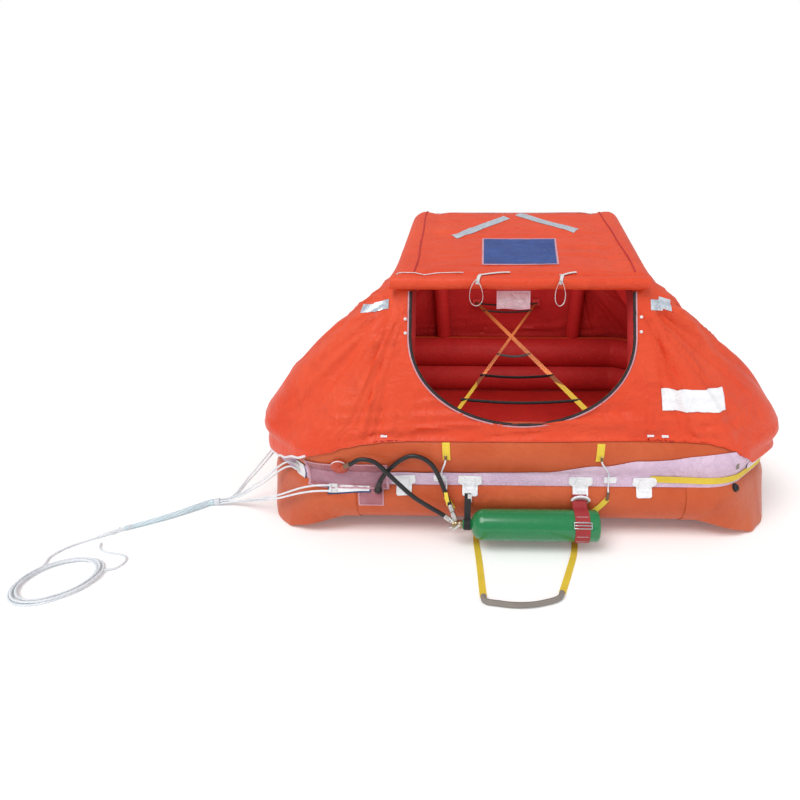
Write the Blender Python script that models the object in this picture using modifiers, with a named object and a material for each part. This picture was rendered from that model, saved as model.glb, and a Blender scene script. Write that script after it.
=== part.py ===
"""Inflatable life raft for six, standing inflated on the floor with its painter laid out in a coil.

Two stacked inflated tubes carry a floor, two arch tubes and a tent canopy with a round-bottomed
entrance. A gas cylinder, its two hoses and a boarding stirrup lie in front. Metres, +Z up, +X to the
right of someone who faces the entrance, which is on the -Y side. The origin is on the floor below the
middle of the raft with its cylinder; the raft's own middle is RAFT_Y behind it.
"""

import bpy
import bmesh
from math import asin, atan2, ceil, cos, exp, hypot, pi, radians, sin, sqrt, tan
from mathutils import Matrix, Vector

# Driving dimensions of the inflated tubes
LENGTH = 2.20              # over the two end tubes
WIDTH = 1.97               # over the front and back tubes
TUBE_R = 0.109
TUBE_PITCH = 0.187         # between the middles of the two stacked tubes, which press flat on each other
TUBE_LIFT = 0.050          # the lower tube's underside above the floor, held up by its water pockets
CORNER_CUT = 0.216         # how far each corner of the middle line is cut off
CORNER_BEND = 0.15         # radius of each turn of the middle line
GAP = 0.0003               # between faces that touch

# Driving dimensions of the arches and the canopy
ARCH_X = 0.466
ARCH_R = 0.050
SHOULDER_Y = 0.699
SHOULDER_Z = 0.956
PEAK_Z = 1.216
CLOTH = 0.005              # canopy wall
HEM_LOW = 0.262            # lower edge of the canopy round the ends
HEM_RISEN = 0.357          # lower edge where it has climbed along the front and back
HEM_HIGH = 0.418           # lower edge over the bare stretch of tube, front and back
HEM_RISE_X = 1.03          # where the climb starts
HEM_STEP_X = 0.80          # where it ends in a step

# Driving dimensions of the gas cylinder
BOTTLE_R = 0.0645
BOTTLE_Y = -1.044          # it hangs against the lower tube by its two straps
BOTTLE_Z = 0.098
BOTTLE_X = (-0.190, 0.310) # dome end, base end
BAND_T = 0.0035            # thickness of the straps round it

LOWER_Z = TUBE_LIFT + TUBE_R
UPPER_Z = LOWER_Z + TUBE_PITCH
SIDE_X = LENGTH / 2 - TUBE_R       # middle line of the end tubes
SIDE_Y = WIDTH / 2 - TUBE_R        # middle line of the front and back tubes
FRONT_REACH = BOTTLE_R + BAND_T - BOTTLE_Y
CANOPY_R = 0.1168                  # outside of the canopy where it wraps the upper tube
BACK_REACH = SIDE_Y + TUBE_R
RAFT_Y = (FRONT_REACH - BACK_REACH) / 2
SHELL_R = (ARCH_R + 2 * GAP) / cos(radians(10)) + CLOTH     # outside of the canopy where it wraps an arch

ORANGE = (0.80, 0.13, 0.04)
TUBE_ORANGE = (0.62, 0.17, 0.06)
WEBBING_YELLOW = (0.85, 0.66, 0.08)
WHITE = (0.85, 0.87, 0.90)
BLACK = (0.02, 0.02, 0.02)
DEEP_RED = (0.35, 0.03, 0.03)


# Scene, materials and collections

for old in list(bpy.data.objects):
    bpy.data.objects.remove(old, do_unlink=True)

parts = bpy.data.collections.new("life_raft")
guides = bpy.data.collections.new("guides")
bpy.context.scene.collection.children.link(parts)
bpy.context.scene.collection.children.link(guides)

raft = bpy.data.objects.new("raft_middle", None)
raft.location = (0, RAFT_Y, 0)
parts.objects.link(raft)


def finish_of(name, colour, roughness, metallic=0.0):
    made = bpy.data.materials.new(name)
    made.use_nodes = True
    shader = made.node_tree.nodes["Principled BSDF"]
    shader.inputs["Base Color"].default_value = (*colour, 1)
    shader.inputs["Roughness"].default_value = roughness
    shader.inputs["Metallic"].default_value = metallic
    made.diffuse_color = (*colour, 1)
    return made


def place(name, data, colour, roughness=0.6, metallic=0.0):
    """A named piece in the raft's collection, measured from the raft's middle."""
    piece = bpy.data.objects.new(name, data)
    piece.data.materials.append(finish_of(name, colour, roughness, metallic))
    piece.parent = raft
    parts.objects.link(piece)
    return piece


def guide(name, data):
    """A cutter or a section outline, which is not part of the raft."""
    piece = bpy.data.objects.new(name, data)
    piece.parent = raft
    piece.hide_render = True
    piece.display_type = "WIRE"
    guides.objects.link(piece)
    return piece


def mesh_from(bm, name):
    bmesh.ops.recalc_face_normals(bm, faces=bm.faces[:])
    mesh = bpy.data.meshes.new(name)
    bm.to_mesh(mesh)
    bm.free()
    return mesh


def cut(piece, cutter, operation="DIFFERENCE"):
    boolean = piece.modifiers.new(cutter.name, "BOOLEAN")
    boolean.operation = operation
    boolean.object = cutter
    boolean.solver = "EXACT"


# Shapes

def curve_through(name, points, radius=0.0, closed=False, sides=3):
    data = bpy.data.curves.new(name, "CURVE")
    data.dimensions = "3D"
    data.twist_mode = "Z_UP"
    data.bevel_depth = radius
    data.bevel_resolution = sides
    data.use_fill_caps = not closed
    data.resolution_u = 1
    data.render_resolution_u = 0
    line = data.splines.new("POLY")
    line.points.add(len(points) - 1)
    for spot, point in zip(line.points, points):
        spot.co = (*point, 1)
    line.use_cyclic_u = closed
    return data


def tube_mesh(name, points, radius, sides=3):
    """The same tube as a welded mesh, for pieces that are cut or joined."""
    source = guide(name + "_line", curve_through(name, points, radius, sides=sides))
    bpy.context.view_layer.update()
    solid = source.evaluated_get(bpy.context.evaluated_depsgraph_get())
    mesh = bpy.data.meshes.new_from_object(solid)
    bpy.data.objects.remove(source, do_unlink=True)
    bm = bmesh.new()
    bm.from_mesh(mesh)
    bmesh.ops.remove_doubles(bm, verts=bm.verts[:], dist=0.00005)
    return mesh_from(bm, name)


def rounded(corners, radius, steps=4):
    """A line of straight runs whose inner corners are arcs."""
    path = [Vector(corners[0])]
    for before, corner, after in zip(corners, corners[1:], corners[2:]):
        before, corner, after = Vector(before), Vector(corner), Vector(after)
        to_before = (before - corner).normalized()
        to_after = (after - corner).normalized()
        half = to_before.angle(to_after) / 2
        reach = radius / tan(half)
        middle = corner + (to_before + to_after).normalized() * (radius / sin(half))
        first = corner + to_before * reach - middle
        last = corner + to_after * reach - middle
        for step in range(steps + 1):
            path.append(middle + first.slerp(last, step / steps).normalized() * radius)
    path.append(Vector(corners[-1]))
    return path


def smooth_through(knots, spacing):
    """Points about one spacing apart on a smooth curve through the knots, however far apart those are."""
    knots = [Vector(knot) for knot in knots]
    runs = [after - before for before, after in zip(knots, knots[1:])]
    headings = [runs[0].normalized()]
    for before, after in zip(runs, runs[1:]):
        mixed = before.normalized() * after.length + after.normalized() * before.length
        headings.append(mixed / (before.length + after.length))
    headings.append(runs[-1].normalized())
    path = [knots[0]]
    for start, end, run, leaving, arriving in zip(knots, knots[1:], runs, headings, headings[1:]):
        steps = max(1, ceil(run.length / spacing))
        for step in range(1, steps + 1):
            t = step / steps
            spot = start * (2 * t ** 3 - 3 * t ** 2 + 1) + end * (3 * t ** 2 - 2 * t ** 3)
            spot += leaving * run.length * (t ** 3 - 2 * t ** 2 + t)
            path.append(spot + arriving * run.length * (t ** 3 - t ** 2))
    return path


def loft(name, sections, closed=False):
    """A skin through a row of sections with the same number of points."""
    bm = bmesh.new()
    rings = [[bm.verts.new(point) for point in section] for section in sections]
    pairs = list(zip(rings, rings[1:]))
    if closed:
        pairs.append((rings[-1], rings[0]))
    for here, there in pairs:
        for i in range(len(here)):
            j = (i + 1) % len(here)
            bm.faces.new((here[i], here[j], there[j], there[i]))
    if not closed:
        bm.faces.new(rings[0])
        bm.faces.new(rings[-1])
    return mesh_from(bm, name)


def box_mesh(name, low, high):
    low, high = Vector(low), Vector(high)
    bm = bmesh.new()
    bmesh.ops.create_cube(bm, size=1.0)
    bmesh.ops.scale(bm, vec=high - low, verts=bm.verts[:])
    bmesh.ops.translate(bm, vec=(high + low) / 2, verts=bm.verts[:])
    return mesh_from(bm, name)


def rod_mesh(name, start, end, radius, segments=10, radius_end=None):
    start, end = Vector(start), Vector(end)
    turn = (end - start).to_track_quat("Z", "Y").to_matrix().to_4x4()
    bm = bmesh.new()
    bmesh.ops.create_cone(bm, cap_ends=True, segments=segments, radius1=radius,
                          radius2=radius if radius_end is None else radius_end, depth=(end - start).length,
                          matrix=Matrix.Translation((start + end) / 2) @ turn)
    return mesh_from(bm, name)


def plate_mesh(name, outline, thickness, centre, normal, up=(0, 0, 1)):
    """A flat plate cut to an outline, its back face at centre and its front facing along normal."""
    normal = Vector(normal).normalized()
    across = Vector(up).cross(normal).normalized()
    rise = normal.cross(across)
    bm = bmesh.new()
    back = bm.faces.new([bm.verts.new(Vector(centre) + across * u + rise * v) for u, v in outline])
    grown = bmesh.ops.extrude_face_region(bm, geom=[back])
    front = [item for item in grown["geom"] if isinstance(item, bmesh.types.BMVert)]
    bmesh.ops.translate(bm, vec=normal * thickness, verts=front)
    return mesh_from(bm, name)


def strip_mesh(name, points, width, thickness, across=(1, 0, 0)):
    """A flat strip of webbing along points, its width lying along across."""
    points = [Vector(point) for point in points]
    side = Vector(across).normalized() * (width / 2)
    sections = []
    for i, point in enumerate(points):
        run = points[min(i + 1, len(points) - 1)] - points[max(i - 1, 0)]
        face = run.cross(side).normalized() * (thickness / 2)
        sections.append([point + side + face, point - side + face, point - side - face, point + side - face])
    return loft(name, sections)


# The tubes' line in plan: a long octagon with each turn an arc

def ring(offset=0.0):
    """Points round the raft at a distance outside the tubes' middle line, as (point, outward)."""
    turn_in = CORNER_BEND * tan(radians(22.5))
    end_turn = (SIDE_X - CORNER_BEND, SIDE_Y - CORNER_CUT - turn_in)
    side_turn = (SIDE_X - CORNER_CUT - turn_in, SIDE_Y - CORNER_BEND)
    turns = [(end_turn, 0), (side_turn, 45)]
    quarter = []
    for centre, first in turns:
        for step in range(4):
            angle = radians(first + 15 * step)
            outward = Vector((cos(angle), sin(angle), 0))
            quarter.append((Vector((*centre, 0)) + outward * (CORNER_BEND + offset), outward))
    stations = []
    for flip_x, flip_y in ((1, 1), (-1, 1), (-1, -1), (1, -1)):
        mirrored = [(Vector((p.x * flip_x, p.y * flip_y, 0)), Vector((n.x * flip_x, n.y * flip_y, 0)))
                    for p, n in quarter]
        stations += mirrored if flip_x * flip_y > 0 else mirrored[::-1]
    return stations


def ring_solid(name, section):
    """A closed ring whose section is a list of (outward, height) measured from the middle line."""
    sections = []
    for point, outward in ring():
        sections.append([point + outward * out + Vector((0, 0, height)) for out, height in section])
    return loft(name, sections, closed=True)


def tube_section(middle_z, radius, flat_above=None, flat_below=None, sides=32):
    """A round section pressed flat where the two tubes touch."""
    section = []
    for step in range(sides):
        angle = 2 * pi * step / sides
        out, height = radius * cos(angle), middle_z + radius * sin(angle)
        if flat_above is not None:
            height = min(height, flat_above)
        if flat_below is not None:
            height = max(height, flat_below)
        section.append((out, height))
    return section


CREASE_Z = (LOWER_Z + UPPER_Z) / 2


def make_tubes():
    lower = tube_section(LOWER_Z, TUBE_R, flat_above=CREASE_Z - GAP / 2)
    upper = tube_section(UPPER_Z, TUBE_R, flat_below=CREASE_Z + GAP / 2)
    place("lower_tube", ring_solid("lower_tube", lower), TUBE_ORANGE, 0.45)
    place("upper_tube", ring_solid("upper_tube", upper), TUBE_ORANGE, 0.45)


BAND_HALF = 0.026          # half height of the strip of cloth that bridges the crease
BAND_THICK = 0.003
BAND_OUT = sqrt(TUBE_R ** 2 - (TUBE_PITCH / 2 - BAND_HALF) ** 2) + GAP
BAND_FACE = BAND_OUT + BAND_THICK


def make_band():
    section = [(BAND_OUT, CREASE_Z - BAND_HALF), (BAND_FACE, CREASE_Z - BAND_HALF),
               (BAND_FACE, CREASE_Z + BAND_HALF), (BAND_OUT, CREASE_Z + BAND_HALF)]
    place("tube_band", ring_solid("tube_band", section), (0.78, 0.58, 0.74), 0.7)


FLOOR_TOP_Z = 0.068
FLOOR_THICK = 0.010
FLOOR_FREE = 0.0022        # height above its top face that the tube leaves free at its edge


def tube_reach(z):
    """How far the lower tube reaches inwards from its middle line at a height, with a gap."""
    return sqrt(TUBE_R ** 2 - (LOWER_Z - z) ** 2) + GAP


def make_floor():
    """Its edge slants outwards below the top face, along the round of the tube that it is joined to."""
    low_z = FLOOR_TOP_Z - FLOOR_THICK
    outlines = []
    for z, beside_z in ((FLOOR_TOP_Z, FLOOR_TOP_Z + FLOOR_FREE), (low_z, low_z)):
        outlines.append([point + Vector((0, 0, z)) for point, outward in ring(-tube_reach(beside_z))])
    place("floor_panel", loft("floor_panel", outlines), DEEP_RED, 0.6)


# Water pockets under the corners, which the raft stands on

POCKET_IN = -0.036         # reach of its top inside the middle line, clear of the floor panel
# one row for each section along a corner: along, outer foot, inner foot, foot height, outer top, top height
POCKET_ROWS = [
    (-0.20, 0.045, -0.030, 0.060, 0.093, 0.130),
    (-0.10, 0.112, -0.036, 0.030, 0.112, 0.170),
    (-0.045, 0.160, -0.036, 0.000, 0.112, 0.185),
    (0.045, 0.160, -0.036, 0.000, 0.112, 0.185),
    (0.10, 0.112, -0.036, 0.030, 0.112, 0.170),
    (0.20, 0.045, -0.030, 0.060, 0.093, 0.130),
]


def corner_frame(along):
    """Point and outward direction at a distance along the middle line from the middle of a corner."""
    turn_in = CORNER_BEND * tan(radians(22.5))
    half_cut = CORNER_CUT / sqrt(2) - turn_in
    side = 1 if along > 0 else -1
    run = abs(along)
    middle = Vector((SIDE_X - CORNER_CUT / 2, SIDE_Y - CORNER_CUT / 2, 0))
    slant = Vector((-side, side, 0)).normalized()
    out = Vector((1, 1, 0)).normalized()
    if run <= half_cut:
        return middle + slant * run, out
    start = middle + slant * half_cut
    angle = min((run - half_cut) / CORNER_BEND, radians(45))
    turned = Matrix.Rotation(side * angle, 3, "Z") @ out
    point = start + (turned - out) * CORNER_BEND
    rest = run - half_cut - CORNER_BEND * radians(45)
    if rest > 0:
        point += (Matrix.Rotation(side * radians(45), 3, "Z") @ slant) * rest
    return point, turned


def make_pockets(tube_cutter):
    for label, flip_x, flip_y in (("front_left", -1, -1), ("front_right", 1, -1),
                                  ("back_left", -1, 1), ("back_right", 1, 1)):
        sections = []
        for along, outer, inner, foot, top_out, top in POCKET_ROWS:
            point, out = corner_frame(along)
            corners = [(top_out, top), (POCKET_IN, top), (inner, foot), (outer, foot)]
            section = [point + out * reach + Vector((0, 0, z)) for reach, z in corners]
            sections.append([Vector((v.x * flip_x, v.y * flip_y, v.z)) for v in section])
        pocket = place("water_pocket_" + label, loft("pocket", sections), TUBE_ORANGE, 0.5)
        cut(pocket, tube_cutter)


# Arches

def wall_line():
    """Unit vectors along and out of the front wall, as (y, z), up the wall from tube to shoulder, and its lean.

    The wall is the line that touches the canopy's circle round the tube and its circle round the arch.
    """
    dy, dz = SIDE_Y - SHOULDER_Y, SHOULDER_Z - UPPER_Z
    length = hypot(dy, dz)
    tilt = atan2(dy, dz) + atan2(CANOPY_R - SHELL_R, sqrt(length ** 2 - (CANOPY_R - SHELL_R) ** 2))
    return (sin(tilt), cos(tilt)), (-cos(tilt), sin(tilt)), tilt


ALONG_WALL, OUT_OF_WALL, WALL_TILT = wall_line()


def wall_y(z):
    """How far forward the outside of the front wall is at a height."""
    foot_y = -SIDE_Y + OUT_OF_WALL[0] * CANOPY_R
    foot_z = UPPER_Z + OUT_OF_WALL[1] * CANOPY_R
    return foot_y + (z - foot_z) * ALONG_WALL[0] / ALONG_WALL[1]


def arch_corners(offset=0.0):
    """Corners of an arch's line as (y, z), moved outwards by offset."""
    inset = CANOPY_R - SHELL_R
    foot_y = -SIDE_Y + OUT_OF_WALL[0] * inset + ALONG_WALL[0] * 0.06
    foot_z = UPPER_Z + OUT_OF_WALL[1] * inset + ALONG_WALL[1] * 0.06
    half = [(foot_y, foot_z), (-SHOULDER_Y, SHOULDER_Z), (0.0, PEAK_Z)]
    return half + [(-y, z) for y, z in half[-2::-1]]


ARCH_BEND = 0.11


def make_arches(tube_cutter):
    for label, side in (("left", -1), ("right", 1)):
        line = [(side * ARCH_X, y, z) for y, z in arch_corners()]
        body = tube_mesh("arch", rounded(line, ARCH_BEND), ARCH_R, sides=4)
        arch = place("arch_" + label, body, TUBE_ORANGE, 0.45)
        cut(arch, tube_cutter)


# Canopy

CANOPY_SPLITS = 5          # between the tube and the arch
TAUT_FOOT = -13.8          # degrees by which the cloth leaves the corner of the tubes outside a straight line
SLACK_FOOT = 17.8          # and inside it in the middle of each end
TAUT_TOP = -7.0            # the same where it reaches the arch
SLACK_TOP = 25.0
SLACK_FROM = 0.47          # share of the arch's roof over which the cloth goes from taut to slack
SWELL = 0.065              # how far the corners of the tent bulge, low down
SWELL_SLACK = 0.030        # the same in the middle of each end
SWELL_AT = 0.13            # where the bulge is widest and how it tapers, as shares of the way up
SWELL_TAPER = 0.345
WALL_SPLITS = (0.0, 0.5)
BEND_SPLITS = (0.0, 0.0942, 0.1885, 0.2827, 0.5, 0.7173, 0.8115, 0.9058)    # with the turns of the tubes
ROOF_SPLITS = (0.0, 0.12, 0.24, 0.36, 0.5, 0.75)
PEAK_SPLITS = (0.0, 0.5, 1.0)                                               # half of the bend at the peak


def eased(t):
    t = max(0, min(1, t))
    return t * t * (3 - 2 * t)


def arch_stations():
    """From the front foot of the right arch to its peak: point, outward, stretch and share of that stretch."""
    inset = CANOPY_R - SHELL_R
    foot = Vector((ARCH_X, -SIDE_Y + OUT_OF_WALL[0] * inset, UPPER_Z + OUT_OF_WALL[1] * inset))
    corner, peak = Vector((ARCH_X, -SHOULDER_Y, SHOULDER_Z)), Vector((ARCH_X, 0, PEAK_Z))
    down, up = (foot - corner).normalized(), (peak - corner).normalized()
    half = down.angle(up) / 2
    reach = ARCH_BEND / tan(half)
    middle = corner + (down + up).normalized() * (ARCH_BEND / sin(half))
    first, last = corner + down * reach, corner + up * reach
    out_wall, out_roof = Vector((0, *OUT_OF_WALL)), Vector((0, -up.z, up.y))
    stations = [(foot.lerp(first, t), out_wall, "wall", t) for t in WALL_SPLITS]
    for t in BEND_SPLITS:
        outward = out_wall.slerp(out_roof, t).normalized()
        stations.append((middle + outward * ARCH_BEND, outward, "bend", t))
    lean = atan2(up.z, up.y)
    turn_y = -ARCH_BEND * sin(lean)
    turn_z = PEAK_Z - ARCH_BEND / cos(lean)
    turn = Vector((ARCH_X, turn_y, turn_z + ARCH_BEND * cos(lean)))
    stations += [(last.lerp(turn, t), out_roof, "roof", t * (1 - turn.y / last.y)) for t in ROOF_SPLITS]
    for t in PEAK_SPLITS:
        outward = Vector((0, -sin(lean * (1 - t)), cos(lean * (1 - t))))
        spot = Vector((ARCH_X, 0, turn_z)) + outward * ARCH_BEND
        stations.append((spot, outward, "roof", 1 - spot.y / last.y))
    return stations


def tube_station(stretch, share):
    """The point of the upper tube's middle line that the cloth comes down to, and its outward direction."""
    turn_in = CORNER_BEND * tan(radians(22.5))
    straight_x, straight_y = SIDE_X - CORNER_CUT - turn_in, -(SIDE_Y - CORNER_CUT - turn_in)
    if stretch == "wall":
        return Vector((ARCH_X + (straight_x - ARCH_X) * share, -SIDE_Y, UPPER_Z)), Vector((0, -1, 0))
    if stretch == "roof":
        return Vector((SIDE_X, straight_y * (1 - share), UPPER_Z)), Vector((1, 0, 0))
    arc = CORNER_BEND * radians(45)
    slant = CORNER_CUT * sqrt(2) - 2 * turn_in
    run = share * (2 * arc + slant)
    angle = radians(-90 + min(run, arc) / arc * 45 + max(0, run - arc - slant) / arc * 45)
    out = Vector((cos(angle), sin(angle), 0))
    if run > arc + slant:
        return Vector((SIDE_X - CORNER_BEND, straight_y, UPPER_Z)) + out * CORNER_BEND, out
    first = Vector((straight_x, -SIDE_Y + CORNER_BEND, UPPER_Z))
    return first + out * CORNER_BEND + Vector((1, 1, 0)).normalized() * max(0, run - arc), out


def slackness(stretch, share):
    """Turn of the cloth at its foot and its top, and its bulge, along the arch."""
    if stretch == "wall":
        return 0, 0, 0
    if stretch == "bend":
        return TAUT_FOOT * eased(share), TAUT_TOP * share, SWELL * eased(share)
    grown = eased(share / SLACK_FROM)
    return (TAUT_FOOT + (SLACK_FOOT - TAUT_FOOT) * grown, TAUT_TOP + (SLACK_TOP - TAUT_TOP) * grown,
            SWELL + (SWELL_SLACK - SWELL) * grown)


def cloth_line(station, wraps=3, tops=5):
    """One line of the cloth from its hem over the tube and up to the top of the arch."""
    arch, over_arch, stretch, share = station
    tube, out = tube_station(stretch, share)
    upright = Vector((0, 0, 1))
    span = arch - tube
    level, rise = -span.dot(out), span.z
    tilt = WALL_TILT
    if stretch != "wall":
        tilt = atan2(level, rise) + asin((CANOPY_R - SHELL_R) / hypot(level, rise))
    foot_turn, top_turn, swell = slackness(stretch, share)
    leave, arrive = tilt + radians(foot_turn), tilt - radians(top_turn)
    low = out * cos(leave) + upright * sin(leave)
    high = out * cos(arrive) + upright * sin(arrive)
    along = Vector((0, over_arch.z, -over_arch.y))
    high = (high - along * high.dot(along)).normalized()
    start, end = tube + low * CANOPY_R, arch + high * SHELL_R
    run = end - start
    pull_low, pull_high = run - low * run.dot(low), run - high * run.dot(high)
    if run.length > GAP:
        pull_low *= run.length / pull_low.length
        pull_high *= run.length / pull_high.length
    at_foot = swell * exp(-(SWELL_AT / SWELL_TAPER) ** 2)
    line = [tube + out * CANOPY_R + upright * (HEM_LOW - UPPER_Z)]
    for step in range(wraps):
        angle = leave * step / wraps
        line.append(tube + (out * cos(angle) + upright * sin(angle)) * (CANOPY_R + at_foot * step / wraps))
    for step in range(CANOPY_SPLITS + 1):
        t = step / CANOPY_SPLITS
        spot = start * (2 * t ** 3 - 3 * t ** 2 + 1) + end * (3 * t ** 2 - 2 * t ** 3)
        spot += pull_low * (t ** 3 - 2 * t ** 2 + t) + pull_high * (t ** 3 - t ** 2)
        line.append(spot + low * swell * exp(-((t - SWELL_AT) / SWELL_TAPER) ** 2) * (1 - t))
    for step in range(1, tops + 1):
        line.append(arch + high.slerp(over_arch, step / tops).normalized() * SHELL_R)
    return line, wraps + 2


def flipped(line, flip_x, flip_y):
    return [Vector((spot.x * flip_x, spot.y * flip_y, spot.z)) for spot in line]


def canopy_skin():
    """The tent's outside as an open skin: taut at its front and corners, slack in the middle of its ends."""
    front = [cloth_line(station) for station in arch_stations()]
    foot = front[0][0][:front[0][1]]
    lines = [line for line, count in front]
    right = lines + [flipped(line, 1, -1) for line in lines[-2::-1]]
    middle = foot + [line[-1] for line in right] + flipped(foot, 1, -1)[::-1]
    bm = bmesh.new()
    for grid in (right, [flipped(line, -1, 1) for line in right], [[spot, flipped([spot], -1, 1)[0]] for spot in middle]):
        rows = [[bm.verts.new(spot) for spot in line] for line in grid]
        for here, there in zip(rows, rows[1:]):
            for i in range(len(here) - 1):
                bm.faces.new((here[i], here[i + 1], there[i + 1], there[i]))
    bmesh.ops.remove_doubles(bm, verts=bm.verts[:], dist=0.001)
    bmesh.ops.dissolve_degenerate(bm, edges=bm.edges[:], dist=0.001)
    bmesh.ops.dissolve_limit(bm, angle_limit=radians(0.5), verts=bm.verts[:], edges=bm.edges[:])
    bmesh.ops.triangulate(bm, faces=[face for face in bm.faces if len(face.verts) > 3])
    return mesh_from(bm, "canopy_skin")


SHOULDER_SEAM = 0.735
SEAM_X = ARCH_X + 0.004
FAR = 3.0
# one row for each panel of the tent: name, low x, high x, low y, high y
PANELS = [
    ("canopy_left", -FAR, -SEAM_X - GAP, -FAR, FAR),
    ("canopy_right", SEAM_X + GAP, FAR, -FAR, FAR),
    ("canopy_front", -SEAM_X, SEAM_X, -FAR, -SHOULDER_SEAM - GAP),
    ("canopy_roof", -SEAM_X, SEAM_X, -SHOULDER_SEAM, SHOULDER_SEAM),
    ("canopy_back", -SEAM_X, SEAM_X, SHOULDER_SEAM + GAP, FAR),
]

DOOR_HALF = 0.424          # half width of the entrance at the top
DOOR_SIDE_Z = 0.80         # where its straight sides end
DOOR_SILL_Z = 0.480        # lowest point of its round foot
DOOR_TOP_Z = 0.975


def door_outline(grow=0.0, steps=14):
    """The entrance as (x, z): straight sides and a foot rounder than half an ellipse."""
    foot = []
    for step in range(steps + 1):
        angle = pi + pi * step / steps
        x = cos(angle)
        z = -abs(sin(angle)) ** 0.92
        foot.append((x * (DOOR_HALF + grow), DOOR_SIDE_Z + z * (DOOR_SIDE_Z - DOOR_SILL_Z + grow)))
    return foot


def make_canopy():
    skin = canopy_skin()
    door = door_outline()
    outline = [(-DOOR_HALF, DOOR_TOP_Z)] + door + [(DOOR_HALF, DOOR_TOP_Z)]
    door_cutter = guide("door_cutter", loft("door_cutter", [[Vector((x, y, z)) for x, z in outline]
                                                            for y in (-1.2, -0.5)]))
    hem = [(HEM_RISE_X, -1), (HEM_RISE_X, HEM_LOW), (HEM_STEP_X, HEM_RISEN), (HEM_STEP_X, HEM_HIGH)]
    hem += [(-x, z) for x, z in reversed(hem)]
    hem_ends = [[Vector((x, y, z)) for x, z in hem] for y in (-FAR, FAR)]
    hem_cutter = guide("hem_cutter", loft("hem_cutter", hem_ends))
    for name, low_x, high_x, low_y, high_y in PANELS:
        panel = place(name, skin.copy(), ORANGE, 0.6)
        wall = panel.modifiers.new("cloth", "SOLIDIFY")
        wall.thickness = CLOTH
        wall.offset = -1
        wall.use_even_offset = True
        room = guide(name + "_room", box_mesh("room", (low_x, low_y, -1), (high_x, high_y, FAR)))
        cut(panel, room, "INTERSECT")
        cut(panel, hem_cutter)
        if name == "canopy_front":
            cut(panel, door_cutter)


ZIP_R = 0.004


def make_zip():
    lift = ZIP_R + 2 * GAP
    line = []
    for x, z in [(-DOOR_HALF, 0.950)] + door_outline() + [(DOOR_HALF, 0.950)]:
        line.append((x * 1.012, wall_y(z) + OUT_OF_WALL[0] * lift, z + OUT_OF_WALL[1] * lift))
    place("entrance_zip", curve_through("entrance_zip", line, ZIP_R, sides=2), BLACK, 0.5)


ROLL_R = 0.028
ROLL_Z = 0.985
ROLL_ENDS = (-0.505, 0.475)
TIE_R = 0.004
TIE_Z = 0.952              # middle of each hanging loop
TIE_HALF_LONG = 0.048
# one row for each loop of tape that ties the rolled door: side, x, half width
DOOR_TIES = [("left", -0.175, 0.026), ("right", 0.142, 0.020)]
POCKET_X = (-0.097, 0.032)
POCKET_FOOT_Z = 0.888
POCKET_HALF_T = 0.002


def shoulder_bend():
    """Middle of the bend in the arches' line at the front shoulder, as (y, z)."""
    foot, corner, peak = [Vector((0, y, z)) for y, z in arch_corners()[:3]]
    to_foot, to_peak = (foot - corner).normalized(), (peak - corner).normalized()
    middle = corner + (to_foot + to_peak).normalized() * (ARCH_BEND / sin(to_foot.angle(to_peak) / 2))
    return middle.y, middle.z


def roll_y():
    """How far forward the rolled door is when it rests against the shoulder of the canopy."""
    bend_y, bend_z = shoulder_bend()
    return bend_y - sqrt((ARCH_BEND + SHELL_R + ROLL_R + GAP) ** 2 - (ROLL_Z - bend_z) ** 2)


ROLL_Y = roll_y()


def make_door_roll():
    left, right = [(x, ROLL_Y, ROLL_Z) for x in ROLL_ENDS]
    place("door_roll", rod_mesh("door_roll", left, right, ROLL_R, segments=16), ORANGE, 0.6)
    tie_y = ROLL_Y - ROLL_R - TIE_R - GAP
    steps = 16
    for label, x, half_width in DOOR_TIES:
        loop = []
        for step in range(steps):
            angle = 2 * pi * step / steps
            loop.append((x + half_width * sin(angle), tie_y, TIE_Z + TIE_HALF_LONG * cos(angle)))
        place("door_tie_" + label, curve_through("door_tie", loop, TIE_R, closed=True, sides=2), WHITE, 0.7)
    low = (POCKET_X[0], ROLL_Y - POCKET_HALF_T, POCKET_FOOT_Z)
    high = (POCKET_X[1], ROLL_Y + POCKET_HALF_T, ROLL_Z - ROLL_R - GAP)
    place("card_pocket", box_mesh("card_pocket", low, high), (0.80, 0.55, 0.60), 0.2)


# Crossed webbing ladder inside, from the foot of the entrance to the back wall

STRAP_R = 0.009
LADDER_FAR_Z = 0.710
LADDER_NEAR_Z = 0.5115
LADDER_SEAT = CLOTH / -OUT_OF_WALL[0] + STRAP_R * (ALONG_WALL[0] / ALONG_WALL[1] + 0.15) + GAP
LADDER_FAR = -wall_y(LADDER_FAR_Z) - LADDER_SEAT
LADDER_NEAR = wall_y(LADDER_NEAR_Z) + LADDER_SEAT
# one row for each strap: near x, far x
LADDER_STRAPS = [(0.262, -0.232), (-0.253, 0.197)]
LADDER_RUNGS = [0.03, 0.14, 0.62, 0.78, 0.93]      # share of the way from the back wall
RUNG_R = 0.007


def strap_point(strap, share):
    near_x, far_x = strap
    return Vector((far_x + (near_x - far_x) * share, LADDER_FAR + (LADDER_NEAR - LADDER_FAR) * share,
                   LADDER_FAR_Z + (LADDER_NEAR_Z - LADDER_FAR_Z) * share))


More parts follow.
